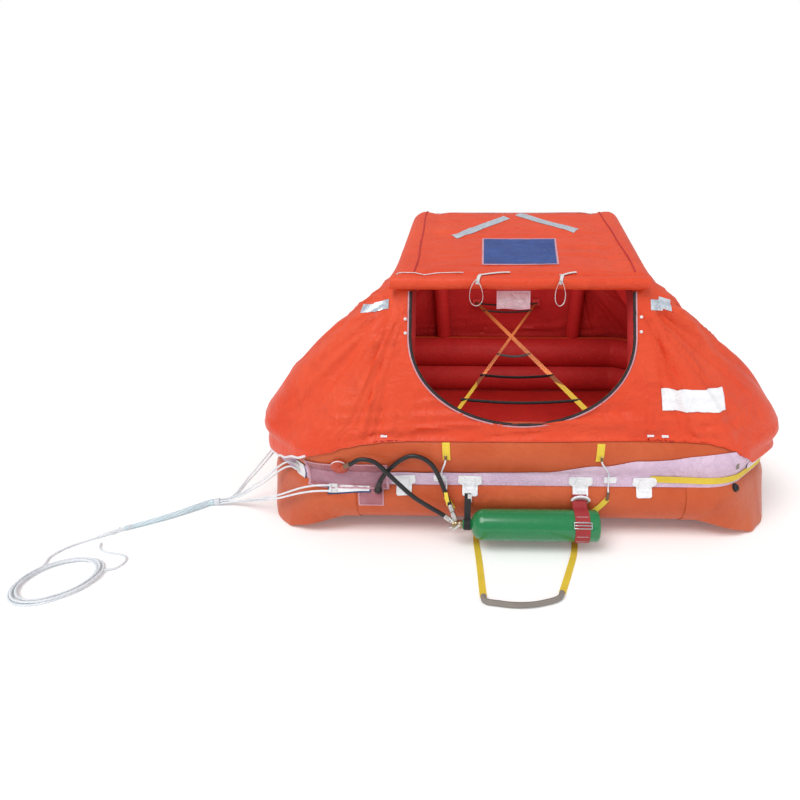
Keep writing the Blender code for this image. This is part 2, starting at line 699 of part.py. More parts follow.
def make_ladder():
    first, second = LADDER_STRAPS
    strap_one = rod_mesh("strap", strap_point(first, 0), strap_point(first, 1), STRAP_R, 8)
    strap_two = rod_mesh("strap", strap_point(second, 0), strap_point(second, 1), STRAP_R, 8)
    ladder = place("inner_ladder", strap_one, WEBBING_YELLOW, 0.7)
    cut(ladder, guide("strap_two", strap_two), "UNION")
    for number, share in enumerate(LADDER_RUNGS):
        rung = rod_mesh("rung", strap_point(first, share), strap_point(second, share), RUNG_R, 8)
        cut(ladder, guide("rung_%d" % number, rung), "UNION")


# Fittings on the front

PATCH_T = 0.003
T_TOP = 0.022
T_FOOT = 0.058
T_OUTLINE = [(-0.046, T_TOP), (-0.046, -0.008), (-0.030, -0.020), (-0.030, -T_FOOT),
             (0.030, -T_FOOT), (0.030, -0.020), (0.046, -0.008), (0.046, T_TOP)]
# one row for each T patch on the front: name, x
T_PATCHES = [
    ("t_patch_left", -0.455),
    ("t_patch_neck", -0.196),
    ("t_patch_base", 0.235),
    ("t_patch_lifeline", 0.482),
]
PATCH_Z = CREASE_Z - 0.006
PATCH_TILT = radians(14)


def seated_y(tilt, height, top):
    """How far forward a plate's back is at a height, leaning by tilt against the band and the lower tube.

    The plate reaches top above that height, which may be less than the band does.
    """
    spots = [(SIDE_Y + BAND_FACE, min(CREASE_Z + BAND_HALF, height + top * cos(tilt)))]
    for degrees in range(60):
        angle = radians(degrees)
        spots.append((SIDE_Y + TUBE_R * cos(angle), LOWER_Z + TUBE_R * sin(angle)))
    reach = max(y * cos(tilt) + (z - height) * sin(tilt) for y, z in spots)
    return -(reach + GAP) / cos(tilt)


def tilted(tilt):
    return (0, -cos(tilt), sin(tilt))


def patch_foot():
    """Where the foot of a T patch's stem is, as (y, z), a little below it and in front of the tube."""
    stem = T_FOOT + 0.001
    return PATCH_Y - stem * sin(PATCH_TILT) - PATCH_T / 2, PATCH_Z - stem * cos(PATCH_TILT)


def rectangle(width, height):
    x, z = width / 2, height / 2
    return [(-x, -z), (x, -z), (x, z), (-x, z)]


def on_front_tube(x, tube_z, angle):
    """Point just off the front of a tube and the direction out of it, angle degrees above its middle."""
    turn = radians(angle)
    reach = TUBE_R + GAP
    return (x, -SIDE_Y - reach * cos(turn), tube_z + reach * sin(turn)), (0, -cos(turn), sin(turn))


PATCH_Y = seated_y(PATCH_TILT, PATCH_Z, T_TOP)
# one row for each small plate on the band: name, x, width, height
LINE_PATCHES = [("line_patch_left", -0.315, 0.045, 0.024), ("line_patch_right", 0.349, 0.045, 0.024)]
TAB_ANGLE = 17             # degrees above the middle of the upper tube
TAB_WIDE = 0.030
TAB_LONG = 0.062
# one row for each yellow tab on the upper tube: name, x
TABS = [("line_tab_left", -0.285), ("line_tab_right", 0.300)]


def make_patches():
    for name, x in T_PATCHES:
        spot = (x, PATCH_Y, PATCH_Z)
        place(name, plate_mesh(name, T_OUTLINE, PATCH_T, spot, tilted(PATCH_TILT)), WHITE, 0.6)
    for name, x, width, height in LINE_PATCHES:
        spot = (x, -(SIDE_Y + BAND_FACE + GAP), CREASE_Z + 0.004)
        place(name, plate_mesh(name, rectangle(width, height), PATCH_T, spot, (0, -1, 0)), WHITE, 0.6)
    for name, x in TABS:
        spot, out = on_front_tube(x, UPPER_Z, TAB_ANGLE)
        place(name, plate_mesh(name, rectangle(TAB_WIDE, TAB_LONG), PATCH_T, spot, out), WEBBING_YELLOW, 0.7)


# one row for each entrance line: name, x of its tab, x of its patch
ENTRANCE_LINES = [("entrance_line_left", -0.287, -0.306), ("entrance_line_right", 0.304, 0.340)]
LINE_R = 0.0035


def make_entrance_lines():
    """Short white lines from the face of each yellow tab down to the face of its patch on the band."""
    angle = radians(TAB_ANGLE)
    for name, top_x, foot_x in ENTRANCE_LINES:
        spot, out = on_front_tube(top_x, UPPER_Z, TAB_ANGLE)
        down = Vector((0, -sin(angle), -cos(angle)))
        face = Vector(spot) + Vector(out) * (PATCH_T + LINE_R + GAP)
        foot_y = -(SIDE_Y + BAND_FACE + PATCH_T + LINE_R + 3 * GAP)
        belly = Vector(((top_x + foot_x) / 2, -(SIDE_Y + TUBE_R + LINE_R + 0.003), UPPER_Z - 0.030))
        knots = [face + down * 0.016, face + down * (TAB_LONG / 2 + 0.004), belly,
                 (foot_x, foot_y - 0.001, CREASE_Z + 0.030), (foot_x, foot_y, CREASE_Z + 0.002)]
        place(name, curve_through(name, smooth_through(knots, 0.010), LINE_R, sides=2), WHITE, 0.7)


def turned(name, profile, end, direction, colour, roughness, metallic=0.0, steps=20):
    """A turned piece: profile rows are (height, radius) from its far end down, end is where height is 0."""
    mesh = bpy.data.meshes.new(name)
    edges = [(i, i + 1) for i in range(len(profile) - 1)]
    mesh.from_pydata([(radius, 0, height) for height, radius in profile], edges, [])
    piece = place(name, mesh, colour, roughness, metallic)
    screw = piece.modifiers.new("turned", "SCREW")
    screw.axis = "Z"
    screw.steps = steps
    screw.render_steps = steps
    screw.use_merge_vertices = True
    screw.merge_threshold = 0.00005
    piece.location = end
    piece.rotation_euler = Vector(direction).to_track_quat("Z", "Y").to_euler()
    return piece


BOTTLE_DOME = 0.052
BOTTLE_SIDES = 28          # the straps round it have as many, so that their facets match
NECK_R = 0.019
NECK_LONG = 0.030
VALVE_R = 0.017
VALVE_LONG = 0.045
OUTLET_R = 0.010
BASE_ROUND = 0.014         # rounding of the base's edge


def make_bottle():
    length = BOTTLE_X[1] - BOTTLE_X[0]
    profile = [(length + NECK_LONG, 0.0), (length + NECK_LONG, NECK_R), (length - 0.0025, NECK_R)]
    for degrees in (60, 45, 30, 15, 0):
        angle = radians(degrees)
        profile.append((length - BOTTLE_DOME + BOTTLE_DOME * sin(angle), BOTTLE_R * cos(angle)))
    bevel = BASE_ROUND * 0.3
    profile += [(BASE_ROUND, BOTTLE_R), (bevel, BOTTLE_R - bevel), (0.0, BOTTLE_R - BASE_ROUND), (0.0, 0.0)]
    base = (BOTTLE_X[1], BOTTLE_Y, BOTTLE_Z)
    turned("gas_cylinder", profile, base, (-1, 0, 0), (0.02, 0.30, 0.08), 0.3, steps=BOTTLE_SIDES)


def make_valve():
    """The valve's body on the neck, an outlet for each hose and a short pointed tip."""
    root = Vector((BOTTLE_X[0] - NECK_LONG - GAP, BOTTLE_Y, BOTTLE_Z))
    body = place("cylinder_valve", rod_mesh("valve", root, root - Vector((VALVE_LONG, 0, 0)), VALVE_R, 12),
                 (0.5, 0.42, 0.3), 0.35, 1.0)
    heart = root - Vector((0.024, 0, 0))
    for label, end in (("outlet_upper", HOSE_UPPER[-1]), ("outlet_lower", HOSE_LOWER[-1])):
        run = Vector(end) - heart
        stop = Vector(end) - run.normalized() * 2 * GAP
        cut(body, guide(label, rod_mesh(label, heart, stop, OUTLET_R, 10)), "UNION")
    tip_start = root + Vector((-0.036, 0, -0.004))
    tip_end = tip_start + Vector((-0.022, 0, -0.014))
    tip = rod_mesh("valve_tip", tip_start, tip_end, OUTLET_R, 10, radius_end=0.004)
    cut(body, guide("valve_tip", tip), "UNION")


# one row for each strap that hangs the cylinder from its T patch: name, x, width, radius inside, colour
BOTTLE_STRAPS = [
    ("neck_strap", BOTTLE_X[0] - 0.014, 0.026, NECK_R + GAP, BLACK),
    ("base_strap", 0.230, 0.056, BOTTLE_R + GAP, (0.45, 0.05, 0.05)),
]


def make_straps():
    """Each strap is a turned ring, joined to a tail that rises to the foot of its T patch."""
    foot_y, foot_z = patch_foot()
    for name, x, width, inner, colour in BOTTLE_STRAPS:
        outer = inner + BAND_T
        half = width / 2
        profile = [(half, inner), (half, outer), (-half, outer), (-half, inner), (half, inner)]
        strap = turned(name, profile, (x, BOTTLE_Y, BOTTLE_Z), (-1, 0, 0), colour, 0.7, steps=BOTTLE_SIDES)
        top = Vector((x, BOTTLE_Y, BOTTLE_Z + (inner + outer) / 2))
        foot = Vector((x, foot_y, foot_z))
        slack = (top + foot) / 2 + Vector((0, -0.004, 0.002))
        tail = strip_mesh("tail", [top, slack, foot], width * 0.9, BAND_T * 0.8)
        cut(strap, guide(name + "_tail", tail), "UNION")


# Hoses from the tubes' inlets to the cylinder's valve

HOSE_R = 0.009
# one row for each point that a hose goes through: x, y, z
HOSE_UPPER = [
    (-0.672, -1.006, 0.322),
    (-0.648, -1.016, 0.336),
    (-0.608, -1.020, 0.358),
    (-0.560, -1.021, 0.352),
    (-0.505, -1.022, 0.302),
    (-0.465, -1.019, 0.256),
    (-0.410, -1.020, 0.202),
    (-0.349, -1.024, 0.161),
    (-0.297, -1.031, 0.131),
    (-0.268, -1.038, 0.113),
]
HOSE_LOWER = [
    (-0.549, -0.996, 0.236),
    (-0.5425, -1.0045, 0.255),
    (-0.524, -1.001, 0.285),
    (-0.489, -0.997, 0.321),
    (-0.456, -0.998, 0.348),
    (-0.417, -1.000, 0.366),
    (-0.375, -1.002, 0.359),
    (-0.342, -1.003, 0.335),
    (-0.320, -1.004, 0.298),
    (-0.302, -1.006, 0.252),
    (-0.279, -1.017, 0.191),
    (-0.262, -1.030, 0.146),
]

# one row for each fitting: name, x, tube, degrees above its middle, radius, height, colour
ROUND_FITTINGS = [
    ("inlet_upper", -0.700, "upper", -19, 0.034, 0.022, (0.45, 0.10, 0.06)),
    ("inlet_lower", -0.557, "lower", 26, 0.015, 0.018, (0.03, 0.03, 0.03)),
]
ELBOWS = {"inlet_upper": HOSE_UPPER[0], "inlet_lower": HOSE_LOWER[0]}


RELIEF_ALONG = 0.118       # from the middle of the front right corner
RELIEF_ANGLE = radians(28)
RELIEF_R = 0.016
RELIEF_HIGH = 0.014
RELIEF_SEAT = 0.001        # how far its foot is let into the tube's round


def fitting_profile(radius, height):
    return [(height, 0.0), (height, radius * 0.55), (height * 0.7, radius * 0.85), (height * 0.35, radius),
            (0.0, radius), (0.0, 0.0)]


def make_round_fittings():
    """Turned fittings on the tubes. An inlet also has an elbow that the hose sits on."""
    corner, out = corner_frame(RELIEF_ALONG)
    corner, out = Vector((corner.x, -corner.y, LOWER_Z)), Vector((out.x, -out.y, 0))
    out = out * cos(RELIEF_ANGLE) + Vector((0, 0, sin(RELIEF_ANGLE)))
    seat = corner + out * (TUBE_R - RELIEF_SEAT)
    turned("relief_valve", fitting_profile(RELIEF_R, RELIEF_HIGH), seat, out, BLACK, 0.5, steps=16)
    for name, x, tube, angle, radius, height, colour in ROUND_FITTINGS:
        spot, out = on_front_tube(x, UPPER_Z if tube == "upper" else LOWER_Z, angle)
        fitting = turned(name, fitting_profile(radius, height), spot, out, colour, 0.5, steps=16)
        if name in ELBOWS:
            heart = Vector(spot) + Vector(out) * height * 0.7
            run = Vector(ELBOWS[name]) - heart
            elbow = rod_mesh("elbow", heart, heart + run - run.normalized() * 2 * GAP, OUTLET_R, 10)
            cut(fitting, guide(name + "_elbow", elbow), "UNION")


def make_hoses():
    for name, route in (("hose_upper", HOSE_UPPER), ("hose_lower", HOSE_LOWER)):
        place(name, curve_through(name, smooth_through(route, 0.025), HOSE_R, sides=3), BLACK, 0.4)


# Lifeline round the outside, from its T patch by the right and the back to the left side

LIFELINE_HIGH = 0.026
LIFELINE_THICK = 0.003
LIFELINE_START_X = 0.5295
LIFELINE_START_Z = 0.262
LIFELINE_Z = 0.250
LIFELINE_SINKS = 6         # stations over which it comes down from its patch
LIFELINE_END_Y = -0.50


def lifeline_section(middle_z):
    """The webbing's section where it lies on the band."""
    inner = BAND_FACE + GAP
    outer = inner + LIFELINE_THICK
    low, high = middle_z - LIFELINE_HIGH / 2, middle_z + LIFELINE_HIGH / 2
    return [(inner, low), (outer, low), (outer, high), (inner, high)]


def make_lifeline():
    stations = ring()
    route = [(Vector((LIFELINE_START_X, -SIDE_Y, 0)), Vector((0, -1, 0)))]
    route += stations[24:32] + stations[0:16]
    route.append((Vector((-SIDE_X, LIFELINE_END_Y, 0)), Vector((-1, 0, 0))))
    sections = []
    for number, (point, outward) in enumerate(route):
        middle_z = LIFELINE_START_Z + (LIFELINE_Z - LIFELINE_START_Z) * min(number / LIFELINE_SINKS, 1)
        section = lifeline_section(middle_z)
        sections.append([point + outward * out + Vector((0, 0, height)) for out, height in section])
    place("lifeline", loft("lifeline", sections), WEBBING_YELLOW, 0.7)


# Bridle: three patches, two lines from each, and the lashing where all six meet on the floor

BRIDLE_R = 0.004
LASHING = Vector((-1.345, -0.752, 0.0170))
LASHING_AXIS = Vector((0.97, 0.03, 0.12)).normalized()      # towards the raft
LASHING_R = 0.0150
LASHING_LONG = 0.028
LINE_CIRCLE = 0.0102       # the six lines leave the lashing side by side on a circle
CORNER_SPOT, CORNER_OUT = corner_frame(0.078)
CORNER_REACH = BAND_FACE + 0.001
CORNER_SEAT = (-CORNER_SPOT.x - CORNER_OUT.x * CORNER_REACH,
               -CORNER_SPOT.y - CORNER_OUT.y * CORNER_REACH, CREASE_Z)
SIDE_SEAT = (-SIDE_X - BAND_FACE - 0.005, -0.610, CREASE_Z - 0.012)
FRONT_LEAN = radians(26)
FRONT_SEAT = (-0.672, seated_y(FRONT_LEAN, 0.212, 0.018), 0.212)
# one row for each patch: name, centre of its back, facing, width, height, side its lines leave on
BRIDLE_PATCHES = [
    ("bridle_patch_side", SIDE_SEAT, (-1, 0, 0), 0.070, 0.050, 1),
    ("bridle_patch_corner", CORNER_SEAT, (-CORNER_OUT.x, -CORNER_OUT.y, 0), 0.086, 0.060, -1),
    ("bridle_patch_front", FRONT_SEAT, tilted(FRONT_LEAN), 0.160, 0.036, -1),
]
# one row for each patch: place of its upper and lower line on the lashing's circle, in degrees
LINE_PLACES = [(150, 210), (90, 30), (330, 270)]
LINE_APART = 0.011         # from the middle of a patch to each of its lines


def bridle_route(centre, facing, width, side, apart, end):
    """From a patch's face, off its edge, and with a little sag to the lashing."""
    out = Vector(facing).normalized()
    across = Vector((0, 0, 1)).cross(out).normalized() * side
    up = out.cross(across) * side
    start = Vector(centre) + out * (PATCH_T + BRIDLE_R + GAP) + up * apart + across * (width / 2 - 0.012)
    leave = start + across * 0.030 + out * 0.001
    arrive = end + LASHING_AXIS * 0.020
    middle = (leave + arrive) / 2 - Vector((0, 0, 0.010))
    return smooth_through([start, leave, middle, arrive, end], 0.022)


def make_bridle():
    aside = Vector((0, 0, 1)).cross(LASHING_AXIS).normalized()
    rise = LASHING_AXIS.cross(aside)
    face = LASHING + LASHING_AXIS * (LASHING_LONG / 2 + GAP)
    number = 0
    for (name, centre, facing, width, height, side), places in zip(BRIDLE_PATCHES, LINE_PLACES):
        place(name, plate_mesh(name, rectangle(width, height), PATCH_T, centre, facing), WHITE, 0.6)
        for place_angle, apart in zip(places, (LINE_APART, -LINE_APART)):
            number += 1
            turn = radians(place_angle)
            end = face + (-aside * cos(turn) + rise * sin(turn)) * LINE_CIRCLE
            line = bridle_route(centre, facing, width, side, apart, end)
            label = "bridle_line_%d" % number
            place(label, curve_through(label, line, BRIDLE_R, sides=2), WHITE, 0.7)
    half = LASHING_AXIS * (LASHING_LONG / 2)
    place("bridle_lashing", rod_mesh("lashing", LASHING - half, LASHING + half, LASHING_R, 12), WHITE, 0.7)


# Painter: a bundle behind the lashing, a knot, the line, its coil on the floor and the loose end

PAINTER_R = 0.004
BUNDLE_ROOT = LASHING - LASHING_AXIS * (LASHING_LONG / 2 + 2 * GAP)
BUNDLE = [
    BUNDLE_ROOT,
    BUNDLE_ROOT - LASHING_AXIS * 0.012,
    (-1.4200, -0.7980, 0.0146),
    (-1.4850, -0.8620, 0.0130),
    (-1.5560, -0.9170, 0.0110),
    (-1.6260, -0.9650, 0.0095),
]
BUNDLE_R = (0.0143, 0.0085)
KNOT_WIDE = 0.020
KNOT_RISE = 0.003          # above the line between the bundle's end and the line's start
COIL_MIDDLE = Vector((-1.640, -1.280, 0))
COIL_R = (0.088, 0.130)    # inside and outside
COIL_HIGH = 0.018
COIL_EDGE = 0.006
COIL_JOIN = COIL_R[1] + PAINTER_R + GAP
COIL_IN = 163              # degrees round the coil where the line reaches it
COIL_OUT = 8               # where the loose end leaves it
PAINTER_LINE = [
    (-1.6930, -1.0240, 0.0050),
    (-1.7280, -1.0540, 0.0042),
    (-1.7620, -1.0950, 0.0042),
    (-1.7780, -1.1500, 0.0042),
]
PAINTER_TAIL = [
    (-1.4850, -1.2150, 0.0042),
    (-1.4750, -1.1800, 0.0042),
    (-1.4900, -1.1480, 0.0042),
    (-1.5300, -1.1300, 0.0042),
    (-1.5850, -1.1200, 0.0042),
    (-1.6280, -1.0980, 0.0042),
    (-1.6520, -1.0610, 0.0042),
]


def coil_tangent(degrees, run):
    """A point on the line that touches the outside of the coil at an angle, run past the touching point."""
    turn = radians(degrees)
    spot = COIL_MIDDLE + Vector((cos(turn), sin(turn), 0)) * COIL_JOIN + Vector((0, 0, PAINTER_R + GAP))
    return spot + Vector((-sin(turn), cos(turn), 0)) * run


def make_painter():
    path = smooth_through(BUNDLE, 0.028)
    bundle = curve_through("painter_bundle", path, BUNDLE_R[0], sides=3)
    for i, spot in enumerate(bundle.splines[0].points):
        spot.radius = 1 - (1 - BUNDLE_R[1] / BUNDLE_R[0]) * i / (len(path) - 1)
    place("painter_bundle", bundle, WHITE, 0.7)

    start, end = Vector(BUNDLE[-1]), Vector(PAINTER_LINE[0])
    bm = bmesh.new()
    bmesh.ops.create_uvsphere(bm, u_segments=12, v_segments=8, radius=0.5)
    bmesh.ops.scale(bm, vec=(KNOT_WIDE, KNOT_WIDE, (end - start).length - 4 * GAP), verts=bm.verts[:])
    bmesh.ops.rotate(bm, matrix=(end - start).to_track_quat("Z", "Y").to_matrix(), verts=bm.verts[:])
    bmesh.ops.translate(bm, vec=(start + end) / 2 + Vector((0, 0, KNOT_RISE)), verts=bm.verts[:])
    place("painter_knot", mesh_from(bm, "painter_knot"), WHITE, 0.7)

    line = PAINTER_LINE + [coil_tangent(COIL_IN, -0.030), coil_tangent(COIL_IN, 0)]
    tail = [coil_tangent(COIL_OUT, 0), coil_tangent(COIL_OUT, 0.030)] + PAINTER_TAIL
    for name, route in (("painter_line", line), ("painter_tail", tail)):
        place(name, curve_through(name, smooth_through(route, 0.020), PAINTER_R, sides=2), WHITE, 0.7)

    inner, outer = COIL_R
    profile = [(COIL_HIGH, inner + COIL_EDGE), (COIL_HIGH, outer - COIL_EDGE), (COIL_HIGH - COIL_EDGE, outer),
               (COIL_EDGE, outer), (0.0, outer - COIL_EDGE), (0.0, inner + COIL_EDGE), (COIL_EDGE, inner),
               (COIL_HIGH - COIL_EDGE, inner), (COIL_HIGH, inner + COIL_EDGE)]
    turned("painter_coil", profile, COIL_MIDDLE + Vector((0, 0, GAP)), (0, 0, 1), WHITE, 0.7, steps=40)


# Boarding stirrup: two webbing legs from under the lower tube to a step that lies on the floor

STIRRUP_WIDE = 0.024
STIRRUP_THICK = 0.003
STEP_R = 0.010
STIRRUP_ROOT = radians(-40)     # where the legs are sewn on, round from the front of the lower tube
STIRRUP_LEFT = [
    (-0.174, -0.9610, 0.050),
    (-0.173, -0.968, 0.012),
    (-0.172, -0.985, 0.0040),
    (-0.170, -1.020, 0.0022),
    (-0.160, -1.100, 0.0022),
    (-0.1366, -1.3322, 0.0022),
]
STIRRUP_RIGHT = [
    (0.224, -0.9610, 0.050),
    (0.223, -0.968, 0.012),
    (0.222, -0.985, 0.0040),
    (0.218, -1.020, 0.0022),
    (0.206, -1.080, 0.0022),
    (0.175, -1.180, 0.0022),
    (0.1317, -1.3072, 0.0022),
]
STEP = [
    (-0.1365, -1.3330, 0.0102),
    (-0.1345, -1.3530, 0.0102),
    (-0.0800, -1.3710, 0.0102),
    (-0.0120, -1.3770, 0.0102),
    (0.0600, -1.3650, 0.0102),
    (0.1243, -1.3300, 0.0102),
    (0.1311, -1.3098, 0.0102),
]


def make_stirrup():
    reach = TUBE_R + STIRRUP_THICK / 2
    root_y = -SIDE_Y - reach * cos(STIRRUP_ROOT)
    root_z = LOWER_Z + reach * sin(STIRRUP_ROOT)
    for name, route in (("stirrup_left", STIRRUP_LEFT), ("stirrup_right", STIRRUP_RIGHT)):
        line = smooth_through([(route[0][0], root_y, root_z)] + route, 0.045)
        place(name, strip_mesh(name, line, STIRRUP_WIDE, STIRRUP_THICK), WEBBING_YELLOW, 0.7)
    step = curve_through("stirrup_step", smooth_through(STEP, 0.022), STEP_R, sides=3)
    place("stirrup_step", step, (0.35, 0.30, 0.26), 0.6)


def main():
    make_tubes()
    make_band()
    make_floor()
    around = TUBE_R + 2 * GAP
    lower_cutter = guide("lower_tube_cutter", ring_solid("lower_cutter", tube_section(LOWER_Z, around)))
    upper_cutter = guide("upper_tube_cutter", ring_solid("upper_cutter", tube_section(UPPER_Z, around)))
    make_pockets(lower_cutter)
    make_arches(upper_cutter)
    make_canopy()
    make_zip()
    make_door_roll()
    make_ladder()
    make_patches()
    make_entrance_lines()
    make_bottle()
    make_valve()
    make_straps()
    make_round_fittings()
    make_hoses()
    make_lifeline()
    make_bridle()
    make_painter()
    make_stirrup()


main()
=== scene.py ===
"""Inflatable life raft for six: cloth, webbing, line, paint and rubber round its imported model.

The raft stands inflated on a pale floor, its entrance towards the camera, its painter laid out in a coil
at the left. Metres, measured from the raft's own middle and set at RAFT_Y at the end.
"""

from math import asin, atan2, ceil, cos, exp, hypot, pi, radians, sin, sqrt, tan

import bmesh
import bpy
from mathutils import Matrix, Vector, noise
from mathutils.bvhtree import BVHTree


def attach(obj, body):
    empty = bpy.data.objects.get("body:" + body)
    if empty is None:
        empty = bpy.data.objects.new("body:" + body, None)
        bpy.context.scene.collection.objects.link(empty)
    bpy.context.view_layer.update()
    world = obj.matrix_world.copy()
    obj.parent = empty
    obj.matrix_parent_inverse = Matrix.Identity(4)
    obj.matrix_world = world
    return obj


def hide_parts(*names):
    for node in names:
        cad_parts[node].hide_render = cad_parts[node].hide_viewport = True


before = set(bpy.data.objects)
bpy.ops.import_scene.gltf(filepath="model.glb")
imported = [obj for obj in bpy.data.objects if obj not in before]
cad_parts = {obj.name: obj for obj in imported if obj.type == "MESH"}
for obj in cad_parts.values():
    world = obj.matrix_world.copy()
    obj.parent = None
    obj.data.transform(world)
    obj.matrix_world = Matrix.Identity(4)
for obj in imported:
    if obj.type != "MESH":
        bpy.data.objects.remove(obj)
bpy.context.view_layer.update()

# Sizes of the inflated tubes, the arches and the canopy, as in the model
RAFT_Y = 0.0635            # the raft's middle behind the origin
LENGTH = 2.20
WIDTH = 1.97
TUBE_R = 0.109
TUBE_PITCH = 0.187
TUBE_LIFT = 0.050
CORNER_CUT = 0.216
CORNER_BEND = 0.15
CORNER_IN = CORNER_BEND * tan(radians(22.5))
GAP = 0.0003
UPRIGHT = Vector((0, 0, 1))
LOWER_Z = TUBE_LIFT + TUBE_R
UPPER_Z = LOWER_Z + TUBE_PITCH
CREASE_Z = (LOWER_Z + UPPER_Z) / 2
SIDE_X = LENGTH / 2 - TUBE_R
SIDE_Y = WIDTH / 2 - TUBE_R
ARCH_X = 0.466
ARCH_R = 0.050
ARCH_BEND = 0.11
SHOULDER_Y = 0.699
SHOULDER_Z = 0.956
PEAK_Z = 1.216
CANOPY_R = 0.1168
CLOTH = 0.005
SHELL_R = (ARCH_R + 2 * GAP) / cos(radians(10)) + CLOTH
BAND_HALF = 0.026
BAND_FACE = 0.0889
BAND_TOP = 0.2785


# Blender's tools, used as by hand

def deselect():
    if bpy.context.object and bpy.context.object.mode != "OBJECT":
        bpy.ops.object.mode_set(mode="OBJECT")
    bpy.ops.object.select_all(action="DESELECT")


def take(piece):
    """Selects one piece alone and makes it the active one."""
    deselect()
    piece.select_set(True)
    bpy.context.view_layer.objects.active = piece


def modify(piece, kind, **values):
    """Adds a modifier and applies it."""
    take(piece)
    modifier = piece.modifiers.new(kind.lower(), kind)
    for name, value in values.items():
        setattr(modifier, name, value)
    bpy.ops.object.modifier_apply(modifier=modifier.name)


def smooth(piece, degrees):
    take(piece)
    bpy.ops.object.shade_smooth_by_angle(angle=radians(degrees))


def mesh_piece(name, mesh):
    piece = bpy.data.objects.new(name, mesh)
    bpy.context.scene.collection.objects.link(piece)
    return piece


def weld(mesh, distance):
    """Joins doubled points and turns every face outwards."""
    bm = bmesh.new()
    bm.from_mesh(mesh)
    bmesh.ops.remove_doubles(bm, verts=bm.verts[:], dist=distance)
    bmesh.ops.recalc_face_normals(bm, faces=bm.faces[:])
    bm.to_mesh(mesh)
    bm.free()


def skin(name, rows, round_rows=False, round_columns=False, lengths=None):
    """A sheet of quads through rows of points. With lengths, its UV map has metres along and 0 to 1 across."""
    wide = len(rows[0])
    faces, places = [], []
    across = wide if round_columns else wide - 1
    for i in range(len(rows) - (0 if round_rows else 1)):
        for j in range(across):
            near, far = i * wide, (i + 1) % len(rows) * wide
            after = (j + 1) % wide
            faces.append((near + j, near + after, far + after, far + j))
            if lengths:
                here, there = lengths[i], lengths[i + 1]
                places += [(here, j / across), (here, (j + 1) / across), (there, (j + 1) / across), (there, j / across)]
    mesh = bpy.data.meshes.new(name)
    mesh.from_pydata([point for row in rows for point in row], [], faces)
    if lengths:
        mesh.uv_layers.new(name="UVMap")
        for corner, place in zip(mesh.uv_layers[0].data, places):
            corner.uv = place
    return mesh


# Numbers and lines

def shares(count, edge=None):
    """Even shares from 0 to 1; with an edge share the first and last steps are that narrow."""
    if edge is None:
        return [step / count for step in range(count + 1)]
    return [0.0] + [edge + (1 - 2 * edge) * step / count for step in range(count + 1)] + [1.0]


def grid(down, across, place):
    """Rows of points: place(u, v) with u from 0 to 1 across and v from 0 to 1 down."""
    return [[place(u, v) for u in across] for v in down]


def eased(t):
    t = max(0, min(1, t))
    return t * t * (3 - 2 * t)


def hump(value, middle, width):
    """1 at the middle and next to nothing two widths away from it."""
    return exp(-((value - middle) / width) ** 2)


def crease_noise(spot, seed):
    """From -1 to 1, the same each run."""
    return noise.noise(Vector(spot) + Vector((seed * 7.31, seed * 3.17, seed * 1.73)))


def ridge(height, steepness, spot, seed):
    """Sharp low places between round high ones, from height downwards."""
    return height - abs(crease_noise(spot, seed)) * steepness


def bent_run(start, end, pull_start, pull_end, t):
    """A point of a smooth curve whose pulls at both ends give its headings."""
    spot = start * (2 * t ** 3 - 3 * t ** 2 + 1) + end * (3 * t ** 2 - 2 * t ** 3)
    return spot + (pull_start * (t ** 3 - 2 * t ** 2 + t) + pull_end * (t ** 3 - t ** 2))


def smooth_through(knots, spacing):
    """Points about one spacing apart on a smooth curve through the knots, however far apart those are."""
    knots = [Vector(knot) for knot in knots]
    runs = [after - before for before, after in zip(knots, knots[1:])]
    headings = [runs[0].normalized()]
    for before, after in zip(runs, runs[1:]):
        mixed = before.normalized() * after.length + after.normalized() * before.length
        headings.append(mixed / (before.length + after.length))
    headings.append(runs[-1].normalized())
    path = [knots[0]]
    for start, end, run, leaving, arriving in zip(knots, knots[1:], runs, headings, headings[1:]):
        steps = max(1, ceil(run.length / spacing))
        path += [bent_run(start, end, leaving * run.length, arriving * run.length, t) for t in shares(steps)[1:]]
    return path


def run_lengths(path):
    lengths = [0.0]
    for before, after in zip(path, path[1:]):
        lengths.append(lengths[-1] + (after - before).length)
    return lengths


def even(path, spacing):
    """The same line with points about one spacing apart."""
    lengths = run_lengths(path)
    result, segment = [], 0
    for t in shares(max(2, round(lengths[-1] / spacing))):
        goal = lengths[-1] * t
        while segment < len(path) - 2 and lengths[segment + 1] < goal:
            segment += 1
        span = lengths[segment + 1] - lengths[segment]
        share = 0 if span < 1e-9 else (goal - lengths[segment]) / span
        result.append(path[segment].lerp(path[segment + 1], min(1, max(0, share))))
    return result


def routed(knots, spacing):
    """A smooth line through the knots, with even points."""
    return even(smooth_through(knots, spacing), spacing)


def rounded(corners, radius, steps):
    """A line of straight runs whose inner corners are arcs."""
    path = [corners[0]]
    for before, corner, after in zip(corners, corners[1:], corners[2:]):
        to_before, to_after = (before - corner).normalized(), (after - corner).normalized()
        half = to_before.angle(to_after) / 2
        reach = radius / tan(half)
        middle = corner + (to_before + to_after).normalized() * (radius / sin(half))
        first, last = corner + to_before * reach - middle, corner + to_after * reach - middle
        path += [middle + first.slerp(last, t).normalized() * radius for t in shares(steps)]
    return path + [corners[-1]]


def heading_at(path, number):
    return (path[min(number + 1, len(path) - 1)] - path[max(number - 1, 0)]).normalized()


def frames_along(path):
    """A heading and two directions across at each point, which turn no more than the line does."""
    frames = []
    aside = None
    for number in range(len(path)):
        run = heading_at(path, number)
        aside = run.orthogonal() if aside is None else aside
        aside = (aside - run * aside.dot(run)).normalized()
        frames.append((run, aside, run.cross(aside)))
    return frames


